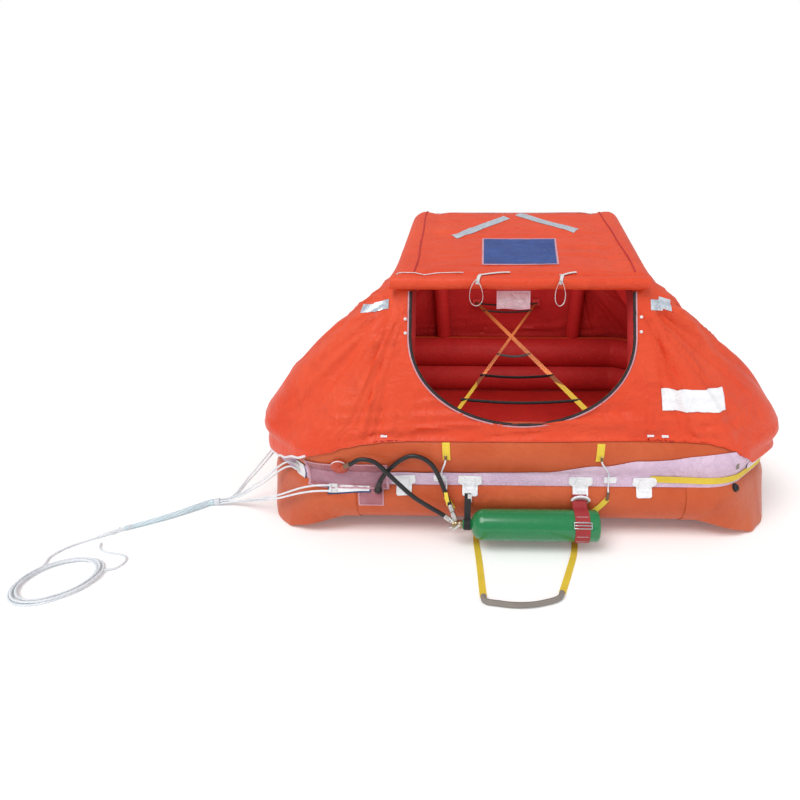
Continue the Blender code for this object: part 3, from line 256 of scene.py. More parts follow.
def circle(middle, aside, rise, radius, turns):
    """Points round a middle, one for each turn from 0 to 1."""
    return [middle + (aside * cos(2 * pi * t) + rise * sin(2 * pi * t)) * radius for t in turns]


# Finishing a piece

def give_finish(piece, *names):
    piece.data.materials.clear()
    for name in names:
        piece.data.materials.append(finishes[name])


def settle(piece, names, replaced=(), degrees=None):
    """Sets a piece in place on the raft with its finishes, and hides the model's nodes that it stands for."""
    piece.data.transform(Matrix.Translation((0, RAFT_Y, 0)))
    if names:
        give_finish(piece, names)
    if degrees is not None:
        smooth(piece, degrees)
    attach(piece, "root")
    if replaced:
        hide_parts(*replaced)
    return piece


def outward_faces(mesh, outward):
    """Turns an open sheet so that its faces look outwards on the whole."""
    weld(mesh, 0.00002)
    total = Vector((0, 0, 0))
    for polygon in mesh.polygons:
        total += polygon.normal * polygon.area
    if total.dot(outward) < 0:
        mesh.flip_normals()
    mesh.update()


def trim_sheet(name, rows, thickness, finish, border=None, node=None):
    """A small piece of cloth through rows of points, with an edge finish of its own if one is named."""
    piece = mesh_piece(name, skin(name, rows, False, False, run_lengths([row[0] for row in rows])))
    wide, high = len(rows[0]) - 1, len(rows) - 1
    if border:
        give_finish(piece, finish, border)
        for number, polygon in enumerate(piece.data.polygons):
            i, j = divmod(number, wide)
            polygon.material_index = 1 if i in (0, high - 1) or j in (0, wide - 1) else 0
    modify(piece, "SOLIDIFY", thickness=thickness, offset=1)
    weld(piece.data, 0.00001)
    return settle(piece, None if border else finish, (node,) if node else (), 40)


def line_tube(name, path, radius, finish, slot, node=(), sides=12, strands=0, depth=0.10, pitch=0.028,
              radius_end=None):
    """A round line along a path, closed at both ends; strands wind round it once in each pitch."""
    lengths = run_lengths(path)
    rows, along = [], []
    for number, (point, (run, aside, rise)) in enumerate(zip(path, frames_along(path))):
        thick = radius + ((radius if radius_end is None else radius_end) - radius) * lengths[number] / lengths[-1]
        row = []
        for step in range(sides):
            angle = 2 * pi * step / sides
            swell = 1.0
            if strands:
                swell = 1 - depth + depth * abs(cos((angle * strands + 2 * pi * lengths[number] / pitch * strands) / 2))
            row.append(point + (aside * cos(angle) + rise * sin(angle)) * thick * swell)
        if number in (0, len(path) - 1):
            flat, rounder = ([point + (spot - point) * share for spot in row] for share in (0.02, 0.75))
            shift = run * thick * 0.25
            if number == 0:
                rows += [flat, rounder, [spot + shift for spot in row]]
            else:
                rows += [[spot - shift for spot in row], rounder, flat]
            along += [lengths[number]] * 3
        else:
            rows.append(row)
            along.append(lengths[number])
    mesh = skin(name, rows, False, True, along)
    weld(mesh, radius * 0.05)
    return settle(mesh_piece(name, mesh), finish, node, 50)


def ribbon(name, path, width, thickness, across, finish, node=(), columns=3, sag=0.0, degrees=40):
    """A flat strap along a path; across is its width's direction, or one direction for each point."""
    rows = []
    for number, point in enumerate(path):
        run = heading_at(path, number)
        side = Vector(across[number] if isinstance(across, list) else across)
        side = (side - run * side.dot(run)).normalized()
        face = run.cross(side)
        rows.append([point + side * share * width / 2 + face * sag * (1 - share ** 2)
                     for share in (t * 2 - 1 for t in shares(columns))])
    piece = mesh_piece(name, skin(name, rows, False, False, run_lengths(path)))
    modify(piece, "SOLIDIFY", thickness=thickness, offset=0)
    weld(piece.data, 0.00001)
    return settle(piece, finish, node, degrees)


def collar(name, path, radius, start, end, finish):
    """A sleeve round a line between two distances along it, with a rolled edge at both ends."""
    lengths = run_lengths(path)
    spots = []
    for t in shares(12):
        goal = start + (end - start) * t
        place = min(max(0, sum(1 for length in lengths if length <= goal) - 1), len(path) - 2)
        share = (goal - lengths[place]) / (lengths[place + 1] - lengths[place])
        spots.append(path[place].lerp(path[place + 1], share))
    rows = []
    for t, point, (run, aside, rise) in zip(shares(12), spots, frames_along(spots)):
        edge = 1.0 + 0.10 * hump(t, 0.06, 0.05) + 0.10 * hump(t, 0.94, 0.05)
        rows.append(circle(point, aside, rise, radius * edge * (0.86 if t in (0, 1) else 1.0), shares(20)[:-1]))
    middles = [sum(row, Vector()) / len(row) for row in rows]
    caps = [[middles[end] + (spot - middles[end]) * 0.05 for spot in rows[end]] for end in (0, -1)]
    piece = mesh_piece(name, skin(name, [caps[0]] + rows + [caps[1]], False, True))
    weld(piece.data, radius * 0.08)
    return settle(piece, finish, (), 45)


def turned_fitting(name, start, direction, radius, depth, steps, finish, node=(), sides=32, bevel=0.0):
    """A round fitting: a cylinder from start along direction, whose far end is drawn out to each (radius, distance)."""
    direction = Vector(direction).normalized()
    deselect()
    bpy.ops.mesh.primitive_cylinder_add(vertices=sides, radius=radius, depth=depth,
                                        location=Vector(start) + direction * depth / 2,
                                        rotation=direction.to_track_quat("Z", "Y").to_euler())
    piece = bpy.context.object
    piece.name = piece.data.name = name
    bpy.ops.object.mode_set(mode="EDIT")
    bpy.ops.mesh.select_mode(type="FACE")
    bm = bmesh.from_edit_mesh(piece.data)
    for face in bm.faces:
        face.select_set(face.normal.z > 0.9)
    bm.select_flush_mode()
    bmesh.update_edit_mesh(piece.data)
    wide = radius
    for next_radius, outward in steps:
        bpy.ops.mesh.extrude_region_move(TRANSFORM_OT_translate={"value": direction * outward})
        if abs(next_radius - wide) > 1e-7:
            bpy.ops.transform.resize(value=(next_radius / wide,) * 3)
        wide = next_radius
    bpy.ops.object.mode_set(mode="OBJECT")
    bpy.ops.object.transform_apply(location=True, rotation=True, scale=True)
    if bevel:
        modify(piece, "BEVEL", width=bevel, segments=2, limit_method="ANGLE", angle_limit=radians(40))
    smooth(piece, 38)
    return settle(piece, finish, node)


def declare_line(path, pieces=()):
    row_path = [point + Vector((0, RAFT_Y, 0)) for point in path]
    run_lengths(row_path)[-1]


# Camera, light and floor

def make_camera():
    camera = bpy.data.objects.new("camera", bpy.data.cameras.new("camera"))
    bpy.context.scene.collection.objects.link(camera)
    camera.location = (-0.113, -2.722 + RAFT_Y, 1.162)
    camera.rotation_euler = (radians(90 - 18.334), 0, radians(1.346))
    camera.data.lens = 22.5
    camera.data.sensor_width = 36
    camera.data.shift_x = -0.1008
    bpy.context.scene.camera = camera


def add_light(name, kind, heading, power):
    light = bpy.data.objects.new(name, bpy.data.lights.new(name, kind))
    light.data.energy = power
    light.rotation_euler = Vector(heading).to_track_quat("-Z", "Y").to_euler()
    bpy.context.scene.collection.objects.link(light)
    return light


def make_light():
    """A white room: even light from all round, a broad soft one from the camera's left, and a glow in the cabin."""
    world = bpy.data.worlds.new("studio")
    bpy.context.scene.world = world
    world.use_nodes = True
    tree = world.node_tree
    backdrop = tree.nodes["Background"]
    backdrop.inputs["Color"].default_value = (1, 1, 1, 1)
    strength = tree.nodes.new("ShaderNodeMapRange")
    strength.inputs["To Min"].default_value = 0.52
    strength.inputs["To Max"].default_value = 1.0
    tree.links.new(tree.nodes.new("ShaderNodeLightPath").outputs["Is Camera Ray"], strength.inputs["Value"])
    tree.links.new(strength.outputs["Result"], backdrop.inputs["Strength"])
    for name, heading, angle, power in (("key", (0.55, 0.60, -1.30), 36, 1.75), ("fill", (-0.9, 0.7, -0.6), 70, 0.40)):
        add_light(name, "SUN", heading, power).data.angle = radians(angle)
    for name, spot, heading, power in (("glow_down", (0, 0.05, 1.10), (0, 0.15, -1), 5.5),
                                       ("glow_back", (0, -0.55, 0.62), (0, 1, 0.25), 4.0)):
        light = add_light(name, "AREA", heading, power)
        light.data.shape = "RECTANGLE"
        light.data.size, light.data.size_y = 0.70, 0.35
        light.data.color = (1.0, 0.82, 0.74)
        light.location = Vector(spot) + Vector((0, RAFT_Y, 0))
        light.visible_camera = False


def make_floor():
    deselect()
    bpy.ops.mesh.primitive_plane_add(size=60, location=(0, 0, 0))
    floor = bpy.context.object
    floor.name = "studio_floor"
    made = bpy.data.materials.new("studio_floor")
    made.use_nodes = True
    inputs = made.node_tree.nodes["Principled BSDF"].inputs
    for label, value in (("Base Color", (0.96, 0.96, 0.96, 1)), ("Roughness", 0.9),
                         ("Emission Color", (1, 1, 1, 1)), ("Emission Strength", 0.10)):
        inputs[label].default_value = value
    floor.data.materials.append(made)


# Shader groups, each built once and placed in the finishes that use it

class Signal:
    """A value in a node tree. Sums and products of it place Math nodes."""

    def __init__(self, tree, socket):
        self.tree, self.socket = tree, socket

    def math(self, operation, second=0.0, first=None):
        made = self.tree.nodes.new("ShaderNodeMath")
        made.operation = operation
        feed(made.inputs[0], self if first is None else first)
        feed(made.inputs[1], second)
        return Signal(self.tree, made.outputs[0])

    def __add__(self, other):
        return self.math("ADD", other)

    def __sub__(self, other):
        return self.math("SUBTRACT", other)

    def __rsub__(self, other):
        return self.math("SUBTRACT", self, other)

    def __mul__(self, other):
        return self.math("MULTIPLY", other)


def feed(socket, value):
    """Sets an input to a number or a colour, or links a signal to it."""
    if isinstance(value, Signal):
        value.tree.links.new(value.socket, socket)
    else:
        socket.default_value = value


class Group:
    """A node group with named inputs that gives a colour, a roughness and a height."""

    def __init__(self, name, inputs):
        self.tree = bpy.data.node_groups.new(name, "ShaderNodeTree")
        for label, value in inputs.items():
            kind = "NodeSocketColor" if isinstance(value, tuple) else "NodeSocketFloat"
            self.tree.interface.new_socket(label, in_out="INPUT", socket_type=kind).default_value = value
        for label, kind in (("Colour", "Color"), ("Roughness", "Float"), ("Height", "Float")):
            self.tree.interface.new_socket(label, in_out="OUTPUT", socket_type="NodeSocket" + kind)
        entry = self.tree.nodes.new("NodeGroupInput")
        self.given = {label: Signal(self.tree, entry.outputs[label]) for label in inputs}
        self.out = self.tree.nodes.new("NodeGroupOutput").inputs
        self.place = self.node("TexCoord", "Object")

    def node(self, kind, output, values=(), **settings):
        """Places a node and gives one of its outputs."""
        made = self.tree.nodes.new("ShaderNode" + kind)
        for name, value in settings.items():
            setattr(made, name, value)
        for socket, value in values:
            feed(made.inputs[socket], value)
        return Signal(self.tree, made.outputs[output])

    def noise(self, scale, detail=3.0, roughness=0.5, distortion=0.0, place=None):
        return self.node("TexNoise", 0, [("Vector", place or self.place), ("Scale", scale), ("Detail", detail),
                                         ("Roughness", roughness), ("Distortion", distortion)])

    def spread(self, value, low, high, to_low=0.0, to_high=1.0):
        """Stretches a value between two limits to two others, and stops there."""
        return self.node("MapRange", 0, enumerate((value, low, high, to_low, to_high)), clamp=True)

    def mix(self, share, first, second):
        return self.node("Mix", 2, [(0, share), (6, first), (7, second)], data_type="RGBA", clamp_factor=True)

    def axes(self, place, count):
        """The first numbers of a place, one signal for each."""
        apart = self.node("SeparateXYZ", 0, [(0, place)]).socket.node
        return [Signal(self.tree, apart.outputs[i]) for i in range(count)]

    def end(self, colour, roughness, height):
        for label, value in (("Colour", colour), ("Roughness", roughness), ("Height", height)):
            feed(self.out[label], value)
        return self.tree


def build_cloth():
    """Coated cloth: faded patches, soil, small creases whose lines are darkened with painted shade, and the weave under
    the coat.
    """
    made = Group("coated_cloth", {
        "Colour": (0.8, 0.2, 0.1, 1), "Faded colour": (0.9, 0.3, 0.2, 1), "Soiled colour": (0.4, 0.1, 0.05, 1),
        "Patches per metre": 3.0, "Creases per metre": 26.0, "Crease depth": 1.0, "Threads": 5200.0, "Gloss": 0.5})
    given, soil_and_crease_shade = made.given, made.given["Soiled colour"]
    patches = made.noise(given["Patches per metre"], 4, 0.6)
    faded = made.mix(made.spread(patches, 0.35, 0.70), given["Colour"], given["Faded colour"])
    soil = made.spread(made.noise(9.0, 6, 0.65, 0.6), 0.56, 0.80, 0.0, 0.55)
    creases = made.noise(given["Creases per metre"], 4, 0.55, 1.6)
    folds = made.spread((creases - 0.5).math("ABSOLUTE"), 0.0, 0.12)
    waves = [(axis * given["Threads"]).math("SINE") for axis in made.axes(made.place, 3)]
    threads = waves[0] * waves[1] + waves[1] * waves[2] + waves[2] * waves[0]
    # painted shade: along the crease lines the colour goes a tenth of the way to the soil and crease shade colour
    crease_shaded = made.mix((1.0 - folds) * 0.10, made.mix(soil, faded, soil_and_crease_shade), soil_and_crease_shade)
    grained = made.mix(made.spread(threads, -1.5, 1.5, 0.0, 0.06), crease_shaded, given["Faded colour"])
    return made.end(grained, given["Gloss"] + made.spread(patches, 0.3, 0.7, -0.06, 0.08),
                    folds * (given["Crease depth"] * 0.0011) + threads * 0.00002)


def build_webbing():
    """Woven strap: ribs across its run with painted shade in the grooves between them, a plain edge on both sides,
    thread flecks and worn places, from its own UV map.
    """
    made = Group("webbing_weave", {
        "Colour": (0.8, 0.7, 0.1, 1), "Groove colour": (0.5, 0.4, 0.05, 1),
        "Ribs per metre": 600.0, "Rows across": 9.0})
    given, shade_and_wear = made.given, made.given["Groove colour"]
    run, side = made.axes(made.node("UVMap", 0), 2)
    along, across = run * given["Ribs per metre"] * (2 * pi), side * given["Rows across"] * (2 * pi)
    weave = (along + across.math("SINE") * 1.6).math("SINE") * 0.6 + across.math("COSINE") * 0.4
    flecks = made.spread(made.noise(420.0, 2), 0.35, 0.65)
    wear = made.spread(made.noise(14.0, 4), 0.4, 0.7, 0.0, 0.25)
    # painted shade: the low places of the weave are coloured most of the way to the darker groove colour
    colour = made.mix(made.spread(weave, -1.0, 0.6, 1.0, 0.0) * 0.7, given["Colour"], shade_and_wear)
    return made.end(made.mix(wear, made.mix(flecks * 0.12, colour, shade_and_wear), shade_and_wear),
                    made.spread(flecks, 0.0, 1.0, 0.55, 0.75), weave * 0.00022)


def build_rope():
    """Laid or braided line: strands that wind round it, from its own UV map, with painted shade in grey in the grooves
    between them and grey soil in patches.
    """
    made = Group("rope_lay", {
        "Colour": (0.85, 0.88, 0.9, 1), "Groove colour": (0.5, 0.55, 0.6, 1), "Turns per metre": 45.0, "Strands": 3.0})
    given, shade_and_soil = made.given, made.given["Groove colour"]
    run, side = made.axes(made.node("UVMap", 0), 2)
    strands = ((run * given["Turns per metre"] + side * given["Strands"]) * pi).math("SINE").math("ABSOLUTE")
    yarns = ((run * 420.0 - side * 6.0) * (2 * pi)).math("SINE")
    soil = made.spread(made.noise(22.0, 4), 0.45, 0.75, 0.0, 0.5)
    # painted shade: the grooves between the strands are coloured most of the way to the grey
    colour = made.mix(made.spread(strands, 0.0, 0.6, 1.0, 0.0) * 0.8, given["Colour"], shade_and_soil)
    yarned = made.mix(made.spread(yarns, -1.0, 1.0, 0.0, 0.15), colour, shade_and_soil)
    return made.end(made.mix(soil, yarned, shade_and_soil), made.spread(strands, 0.0, 1.0, 0.8, 0.5),
                    strands * 0.0005 + yarns * 0.00006)


def build_handled():
    """Painted, moulded and metal parts: fine grain, blotches, scratches and dull rubbed places."""
    made = Group("handled_surface", {
        "Colour": (0.1, 0.1, 0.1, 1), "Rubbed colour": (0.3, 0.3, 0.3, 1), "Rubbed share": 0.3,
        "Grain per metre": 300.0, "Grain depth": 1.0, "Gloss": 0.35})
    given, share = made.given, made.given["Rubbed share"]
    blotches = made.noise(16.0, 5, 0.6, 0.4)
    grain = made.noise(given["Grain per metre"], 3, 0.6)
    drawn_out = made.node("Mapping", 0, [("Vector", made.place), ("Scale", (8.0, 90.0, 60.0))])
    scratches = made.spread(made.noise(3.0, 2, 0.4, place=drawn_out), 0.66, 0.72)
    worn = made.spread(blotches, 0.50, 0.75) * share + scratches * (share * 0.6)
    return made.end(made.mix(worn, given["Colour"], given["Rubbed colour"]),
                    given["Gloss"] + worn * 0.35 + made.spread(grain, 0.3, 0.7, -0.03, 0.05),
                    grain * (given["Grain depth"] * 0.00012) - scratches * 0.00004)


def build_tape():
    """Reflective tape: small cells in a silver layer, with creases where the cloth under it folds, whose lines are
    darkened with painted shade.
    """
    made = Group("reflective_cells", {
        "Colour": (0.75, 0.78, 0.80, 1), "Cell colour": (0.45, 0.50, 0.58, 1), "Cells per metre": 320.0})
    given = made.given
    cells = made.node("TexVoronoi", 0, [("Vector", made.place), ("Scale", given["Cells per metre"])],
                      feature="DISTANCE_TO_EDGE")
    edges = made.spread(cells, 0.0, 0.08, 1.0, 0.0)
    creases = made.noise(34.0, 4, 0.6, 1.2)
    crease_shade = made.spread((creases - 0.5).math("ABSOLUTE"), 0.0, 0.07, 1.0, 0.0)
    # painted shade along the crease lines; the darker cell edges are the tape's own pattern
    return made.end(made.mix(edges * 0.35 + crease_shade * 0.55, given["Colour"], given["Cell colour"]),
                    made.spread(creases, 0.3, 0.7, 0.22, 0.45), creases * 0.0012 - edges * 0.00005)


groups = {"cloth": build_cloth(), "webbing": build_webbing(), "rope": build_rope(),
          "handled": build_handled(), "tape": build_tape()}
finishes = {}


def make_finish(name, group, values, **shader_values):
    """A material whose group's colour, roughness and height feed its shader; plain numbers sit on the shader."""
    made = bpy.data.materials.new(name)
    made.use_nodes = True
    tree = made.node_tree
    shader = tree.nodes["Principled BSDF"]
    placed = tree.nodes.new("ShaderNodeGroup")
    placed.node_tree = groups[group]
    for label, value in values.items():
        placed.inputs[label].default_value = (*value, 1) if isinstance(value, tuple) else value
    raised = tree.nodes.new("ShaderNodeBump")
    raised.inputs["Strength"].default_value = 1.0
    raised.inputs["Distance"].default_value = 1.0
    for start, end in ((placed.outputs["Colour"], shader.inputs["Base Color"]),
                       (placed.outputs["Roughness"], shader.inputs["Roughness"]),
                       (placed.outputs["Height"], raised.inputs["Height"]),
                       (raised.outputs["Normal"], shader.inputs["Normal"])):
        tree.links.new(start, end)
    for label, value in shader_values.items():
        shader.inputs[label.replace("_", " ")].default_value = value
    finishes[name] = made


CLOTH_LABELS = ("Colour", "Faded colour", "Soiled colour", "Patches per metre", "Creases per metre", "Crease depth",
                "Gloss")
CLOTH_FINISHES = [
    # name, colour, faded, soil and crease shade, patches, creases, depth, gloss
    ("canopy_cloth", (0.72, 0.062, 0.020), (0.79, 0.090, 0.032), (0.50, 0.036, 0.014), 2.4, 9.0, 1.3, 0.40),
    ("tube_cloth", (0.54, 0.090, 0.028), (0.61, 0.125, 0.044), (0.38, 0.055, 0.020), 4.0, 14.0, 0.5, 0.34),
    ("lining_cloth", (0.46, 0.024, 0.028), (0.54, 0.036, 0.036), (0.34, 0.018, 0.020), 3.0, 12.0, 1.0, 0.50),
    ("floor_cloth", (0.46, 0.028, 0.026), (0.54, 0.040, 0.034), (0.32, 0.016, 0.016), 3.0, 14.0, 1.2, 0.46),
    ("lilac_cloth", (0.72, 0.52, 0.70), (0.80, 0.62, 0.76), (0.62, 0.34, 0.50), 6.0, 30.0, 1.4, 0.40),
    ("piping_cloth", (0.82, 0.80, 0.84), (0.88, 0.87, 0.90), (0.55, 0.45, 0.52), 8.0, 60.0, 0.8, 0.50),
    ("patch_cloth", (0.93, 0.94, 0.97), (0.97, 0.97, 0.98), (0.55, 0.60, 0.70), 14.0, 50.0, 1.0, 0.45),
    ("label_cloth", (0.90, 0.90, 0.93), (0.95, 0.95, 0.97), (0.60, 0.62, 0.70), 9.0, 30.0, 0.8, 0.38),
    ("panel_cloth", (0.035, 0.075, 0.27), (0.055, 0.11, 0.36), (0.02, 0.035, 0.13), 7.0, 34.0, 1.6, 0.42),
    ("border_cloth", (0.62, 0.30, 0.36), (0.70, 0.42, 0.48), (0.35, 0.16, 0.24), 12.0, 60.0, 0.8, 0.50),
    ("navy_cloth", (0.03, 0.06, 0.16), (0.05, 0.09, 0.22), (0.015, 0.02, 0.06), 12.0, 50.0, 1.0, 0.50),
    ("card_pink", (0.78, 0.42, 0.46), (0.84, 0.52, 0.55), (0.55, 0.20, 0.25), 20.0, 40.0, 0.4, 0.45),
]
FILM_FINISHES = [
    ("pocket_film", (0.80, 0.50, 0.55), (0.88, 0.68, 0.72), (0.62, 0.26, 0.32), 16.0, 40.0, 1.6, 0.18),
    ("film_pink", (0.56, 0.20, 0.27), (0.70, 0.36, 0.44), (0.62, 0.26, 0.32), 16.0, 40.0, 1.6, 0.18),
]
WEBBING_LABELS = ("Colour", "Groove colour", "Ribs per metre", "Rows across")
WEBBING_FINISHES = [
    ("webbing_yellow", (0.96, 0.72, 0.060), (0.52, 0.34, 0.02), 520.0, 9.0),
    # the yellow webbing darkened as painted shade, for the ladder straps' back parts
    ("webbing_shaded", (0.42, 0.15, 0.035), (0.26, 0.07, 0.02), 520.0, 7.0),
    ("webbing_red", (0.46, 0.030, 0.035), (0.22, 0.012, 0.016), 420.0, 16.0),
    ("webbing_black", (0.010, 0.010, 0.012), (0.008, 0.008, 0.010), 420.0, 9.0),
    ("webbing_brown", (0.20, 0.10, 0.05), (0.10, 0.05, 0.03), 520.0, 5.0),
    ("webbing_white", (0.84, 0.84, 0.84), (0.55, 0.52, 0.52), 520.0, 5.0),
    ("webbing_grey", (0.30, 0.27, 0.24), (0.15, 0.13, 0.11), 420.0, 6.0),
    ("zip_teeth", (0.018, 0.018, 0.020), (0.06, 0.05, 0.05), 330.0, 1.0),
]
ROPE_LABELS = ("Colour", "Groove colour", "Turns per metre", "Strands")
ROPE_FINISHES = [
    ("line_white", (0.88, 0.91, 0.94), (0.52, 0.58, 0.64), 60.0, 3.0),
    ("bundle_white", (0.70, 0.82, 0.87), (0.40, 0.55, 0.62), 22.0, 5.0),
]
HANDLED_LABELS = ("Colour", "Rubbed colour", "Rubbed share", "Grain per metre", "Grain depth", "Gloss")
HANDLED_FINISHES = [
    # name, metallic, coat, colour, rubbed, share, grain, depth, gloss
    ("cylinder_green", 0.0, 0.35, (0.005, 0.195, 0.058), (0.03, 0.28, 0.11), 0.15, 260.0, 0.5, 0.24),
    ("hose_rubber", 0.0, 0.0, (0.008, 0.008, 0.009), (0.035, 0.035, 0.038), 0.35, 500.0, 1.4, 0.38),
    ("valve_brass", 1.0, 0.0, (0.34, 0.26, 0.15), (0.50, 0.44, 0.32), 0.5, 420.0, 0.6, 0.28),
    ("valve_steel", 1.0, 0.0, (0.60, 0.60, 0.58), (0.74, 0.73, 0.70), 0.5, 420.0, 0.6, 0.30),
    ("buckle_steel", 1.0, 0.0, (0.62, 0.63, 0.64), (0.80, 0.80, 0.80), 0.5, 500.0, 0.4, 0.25),
    ("inlet_red", 0.0, 0.0, (0.46, 0.055, 0.022), (0.58, 0.12, 0.06), 0.4, 320.0, 0.8, 0.40),
    ("moulded_black", 0.0, 0.0, (0.010, 0.010, 0.011), (0.04, 0.04, 0.043), 0.35, 420.0, 1.0, 0.42),
    ("ferrule_brown", 0.0, 0.0, (0.16, 0.08, 0.045), (0.28, 0.17, 0.10), 0.5, 420.0, 1.0, 0.40),
    ("snap_white", 0.0, 0.2, (0.82, 0.80, 0.78), (0.60, 0.56, 0.54), 0.4, 320.0, 0.5, 0.30),
    ("tag_yellow", 0.0, 0.0, (0.88, 0.66, 0.06), (0.92, 0.78, 0.30), 0.4, 320.0, 0.6, 0.45),
]


def make_finishes():
    for group, labels, table, shader_values in (
            ("cloth", CLOTH_LABELS, CLOTH_FINISHES, {"Specular_IOR_Level": 0.25}),
            ("cloth", CLOTH_LABELS, FILM_FINISHES, {"Alpha": 0.42}),
            ("webbing", WEBBING_LABELS, WEBBING_FINISHES, {}), ("rope", ROPE_LABELS, ROPE_FINISHES, {})):
        for name, *values in table:
            make_finish(name, group, dict(zip(labels, values)), **shader_values)
    for name, metallic, coat, *values in HANDLED_FINISHES:
        make_finish(name, "handled", dict(zip(HANDLED_LABELS, values)), Metallic=metallic, Coat_Weight=coat)
    make_finish("tape_silver", "tape", {"Colour": (0.70, 0.76, 0.82), "Cell colour": (0.34, 0.42, 0.55)}, Metallic=0.55)


# Lines that the cloth and the tubes follow

# one row for each point of the canopy's lower edge along the front and back: x, height
HEM_POINTS = [(0.00, 0.417), (0.42, 0.416), (0.52, 0.412), (0.60, 0.404), (0.68, 0.392), (0.74, 0.374),
              (0.80, 0.352), (0.88, 0.322), (0.96, 0.290), (1.03, 0.262), (2.0, 0.262)]
# the same for the right half of the front, where it stays high for longer
HEM_POINTS_RIGHT = [(0.00, 0.417), (0.45, 0.422), (0.60, 0.421), (0.70, 0.417), (0.76, 0.406), (0.81, 0.388),
                    (0.86, 0.350), (0.91, 0.310), (0.97, 0.280), (1.03, 0.262), (2.0, 0.262)]
HEM_LOW = 0.262            # its lower edge round the ends
# upper edge of the lilac cloth on the front: x, height
BAND_TOP_POINTS = [(-2.0, BAND_TOP), (-0.30, BAND_TOP), (0.08, 0.286), (0.30, 0.322), (0.45, 0.345), (0.80, 0.378),
                   (0.90, 0.370), (1.00, 0.300), (1.05, BAND_TOP), (2.0, BAND_TOP)]


def read_off(rows, x):
    """The height at x on a smooth line through rows of (x, height)."""
    for (x0, z0), (x1, z1) in zip(rows, rows[1:]):
        if x <= x1:
            return z0 + (z1 - z0) * eased((x - x0) / (x1 - x0))
    return rows[-1][1]


def ring_line(straight=0.05, turn=5.0):
    """Points round the raft on the tubes' middle line, as (point, outward, distance along), from the right end."""
    corners = [(SIDE_X, -SIDE_Y + CORNER_CUT), (SIDE_X, SIDE_Y - CORNER_CUT), (SIDE_X - CORNER_CUT, SIDE_Y),
               (-SIDE_X + CORNER_CUT, SIDE_Y), (-SIDE_X, SIDE_Y - CORNER_CUT), (-SIDE_X, -SIDE_Y + CORNER_CUT),
               (-SIDE_X + CORNER_CUT, -SIDE_Y), (SIDE_X - CORNER_CUT, -SIDE_Y)]
    stations = []
    for number, corner in enumerate(corners):
        corner, after = Vector((*corner, 0)), Vector((*corners[(number + 1) % 8], 0))
        run = (after - corner).normalized()
        out = Vector((run.y, -run.x, 0))
        start, end = corner + run * CORNER_IN, after - run * CORNER_IN
        steps = max(1, round((end - start).length / straight))
        stations += [(start.lerp(end, t), out) for t in shares(steps)[:-1]]
        middle = end - out * CORNER_BEND
        turns = round(45 / turn)
        for step in range(turns):
            turned = Matrix.Rotation(radians(45 * step / turns), 3, "Z") @ out
            stations.append((middle + turned * CORNER_BEND, turned))
    line, run = [], 0.0
    for number, (point, out) in enumerate(stations):
        line.append((point, out, run))
        run += (stations[(number + 1) % len(stations)][0] - point).length
    return line


def corner_middle():
    return Vector((SIDE_X - CORNER_CUT / 2, SIDE_Y - CORNER_CUT / 2, 0))


def corner_frame(along, mirrored=False):
    """Point and outward direction at a distance along the middle line from the middle of the back right corner."""
    half_cut = CORNER_CUT / sqrt(2) - CORNER_IN
    side = 1 if along > 0 else -1
    run = abs(along)
    slant = Vector((-side, side, 0)).normalized()
    out = Vector((1, 1, 0)).normalized()
    if run <= half_cut:
        point = corner_middle() + slant * run
    else:
        start = corner_middle() + slant * half_cut
        angle = min((run - half_cut) / CORNER_BEND, radians(45))
        turned = Matrix.Rotation(side * angle, 3, "Z") @ out
        point = start + (turned - out) * CORNER_BEND
        out = turned
        rest = run - half_cut - CORNER_BEND * radians(45)
        if rest > 0:
            point += (Matrix.Rotation(side * radians(45), 3, "Z") @ slant) * rest
    if mirrored:
        point, out = Vector((point.x, -point.y, 0)), Vector((out.x, -out.y, 0))
    return point, out


# The tent: one sheet from the tubes over the two arches

CANOPY_ROWS = 30           # between the tube and the arch
CANOPY_WRAPS = 12          # between its lower edge and where it leaves the tube
CANOPY_TOPS = 8            # over the arch
TAUT_FOOT = -13.8          # degrees by which the cloth leaves the corner of the tubes outside a straight line
SLACK_FOOT = 17.8          # and inside it in the middle of each end
TAUT_TOP = -7.0            # the same where it reaches the arch
SLACK_TOP = 25.0
SLACK_FROM = 0.47          # share of the arch's roof over which the cloth goes from taut to slack
SWELL = 0.065              # how far the corners of the tent bulge, low down
SWELL_SLACK = 0.030
SWELL_AT = 0.13
SWELL_TAPER = 0.345
FABRIC = 0.0022


def wall_line():
    """Unit vectors along and out of the front wall, as (y, z), and its lean."""
    dy, dz = SIDE_Y - SHOULDER_Y, SHOULDER_Z - UPPER_Z
    length = hypot(dy, dz)
    tilt = atan2(dy, dz) + atan2(CANOPY_R - SHELL_R, sqrt(length ** 2 - (CANOPY_R - SHELL_R) ** 2))
    return (sin(tilt), cos(tilt)), (-cos(tilt), sin(tilt)), tilt


ALONG_WALL, OUT_OF_WALL, WALL_TILT = wall_line()
WALL_OUT = Vector((0, *OUT_OF_WALL))


def arch_foot(x, lift=0.0):
    """Where an arch's middle line starts on the tube, and a lift up the wall from there."""
    inset = CANOPY_R - SHELL_R
    return Vector((x, -SIDE_Y + OUT_OF_WALL[0] * inset + ALONG_WALL[0] * lift,
                   UPPER_Z + OUT_OF_WALL[1] * inset + ALONG_WALL[1] * lift))


def wall_y(z):
    """How far forward the outside of the front wall is at a height."""
    foot_y, foot_z = -SIDE_Y + OUT_OF_WALL[0] * CANOPY_R, UPPER_Z + OUT_OF_WALL[1] * CANOPY_R
    return foot_y + (z - foot_z) * ALONG_WALL[0] / ALONG_WALL[1]


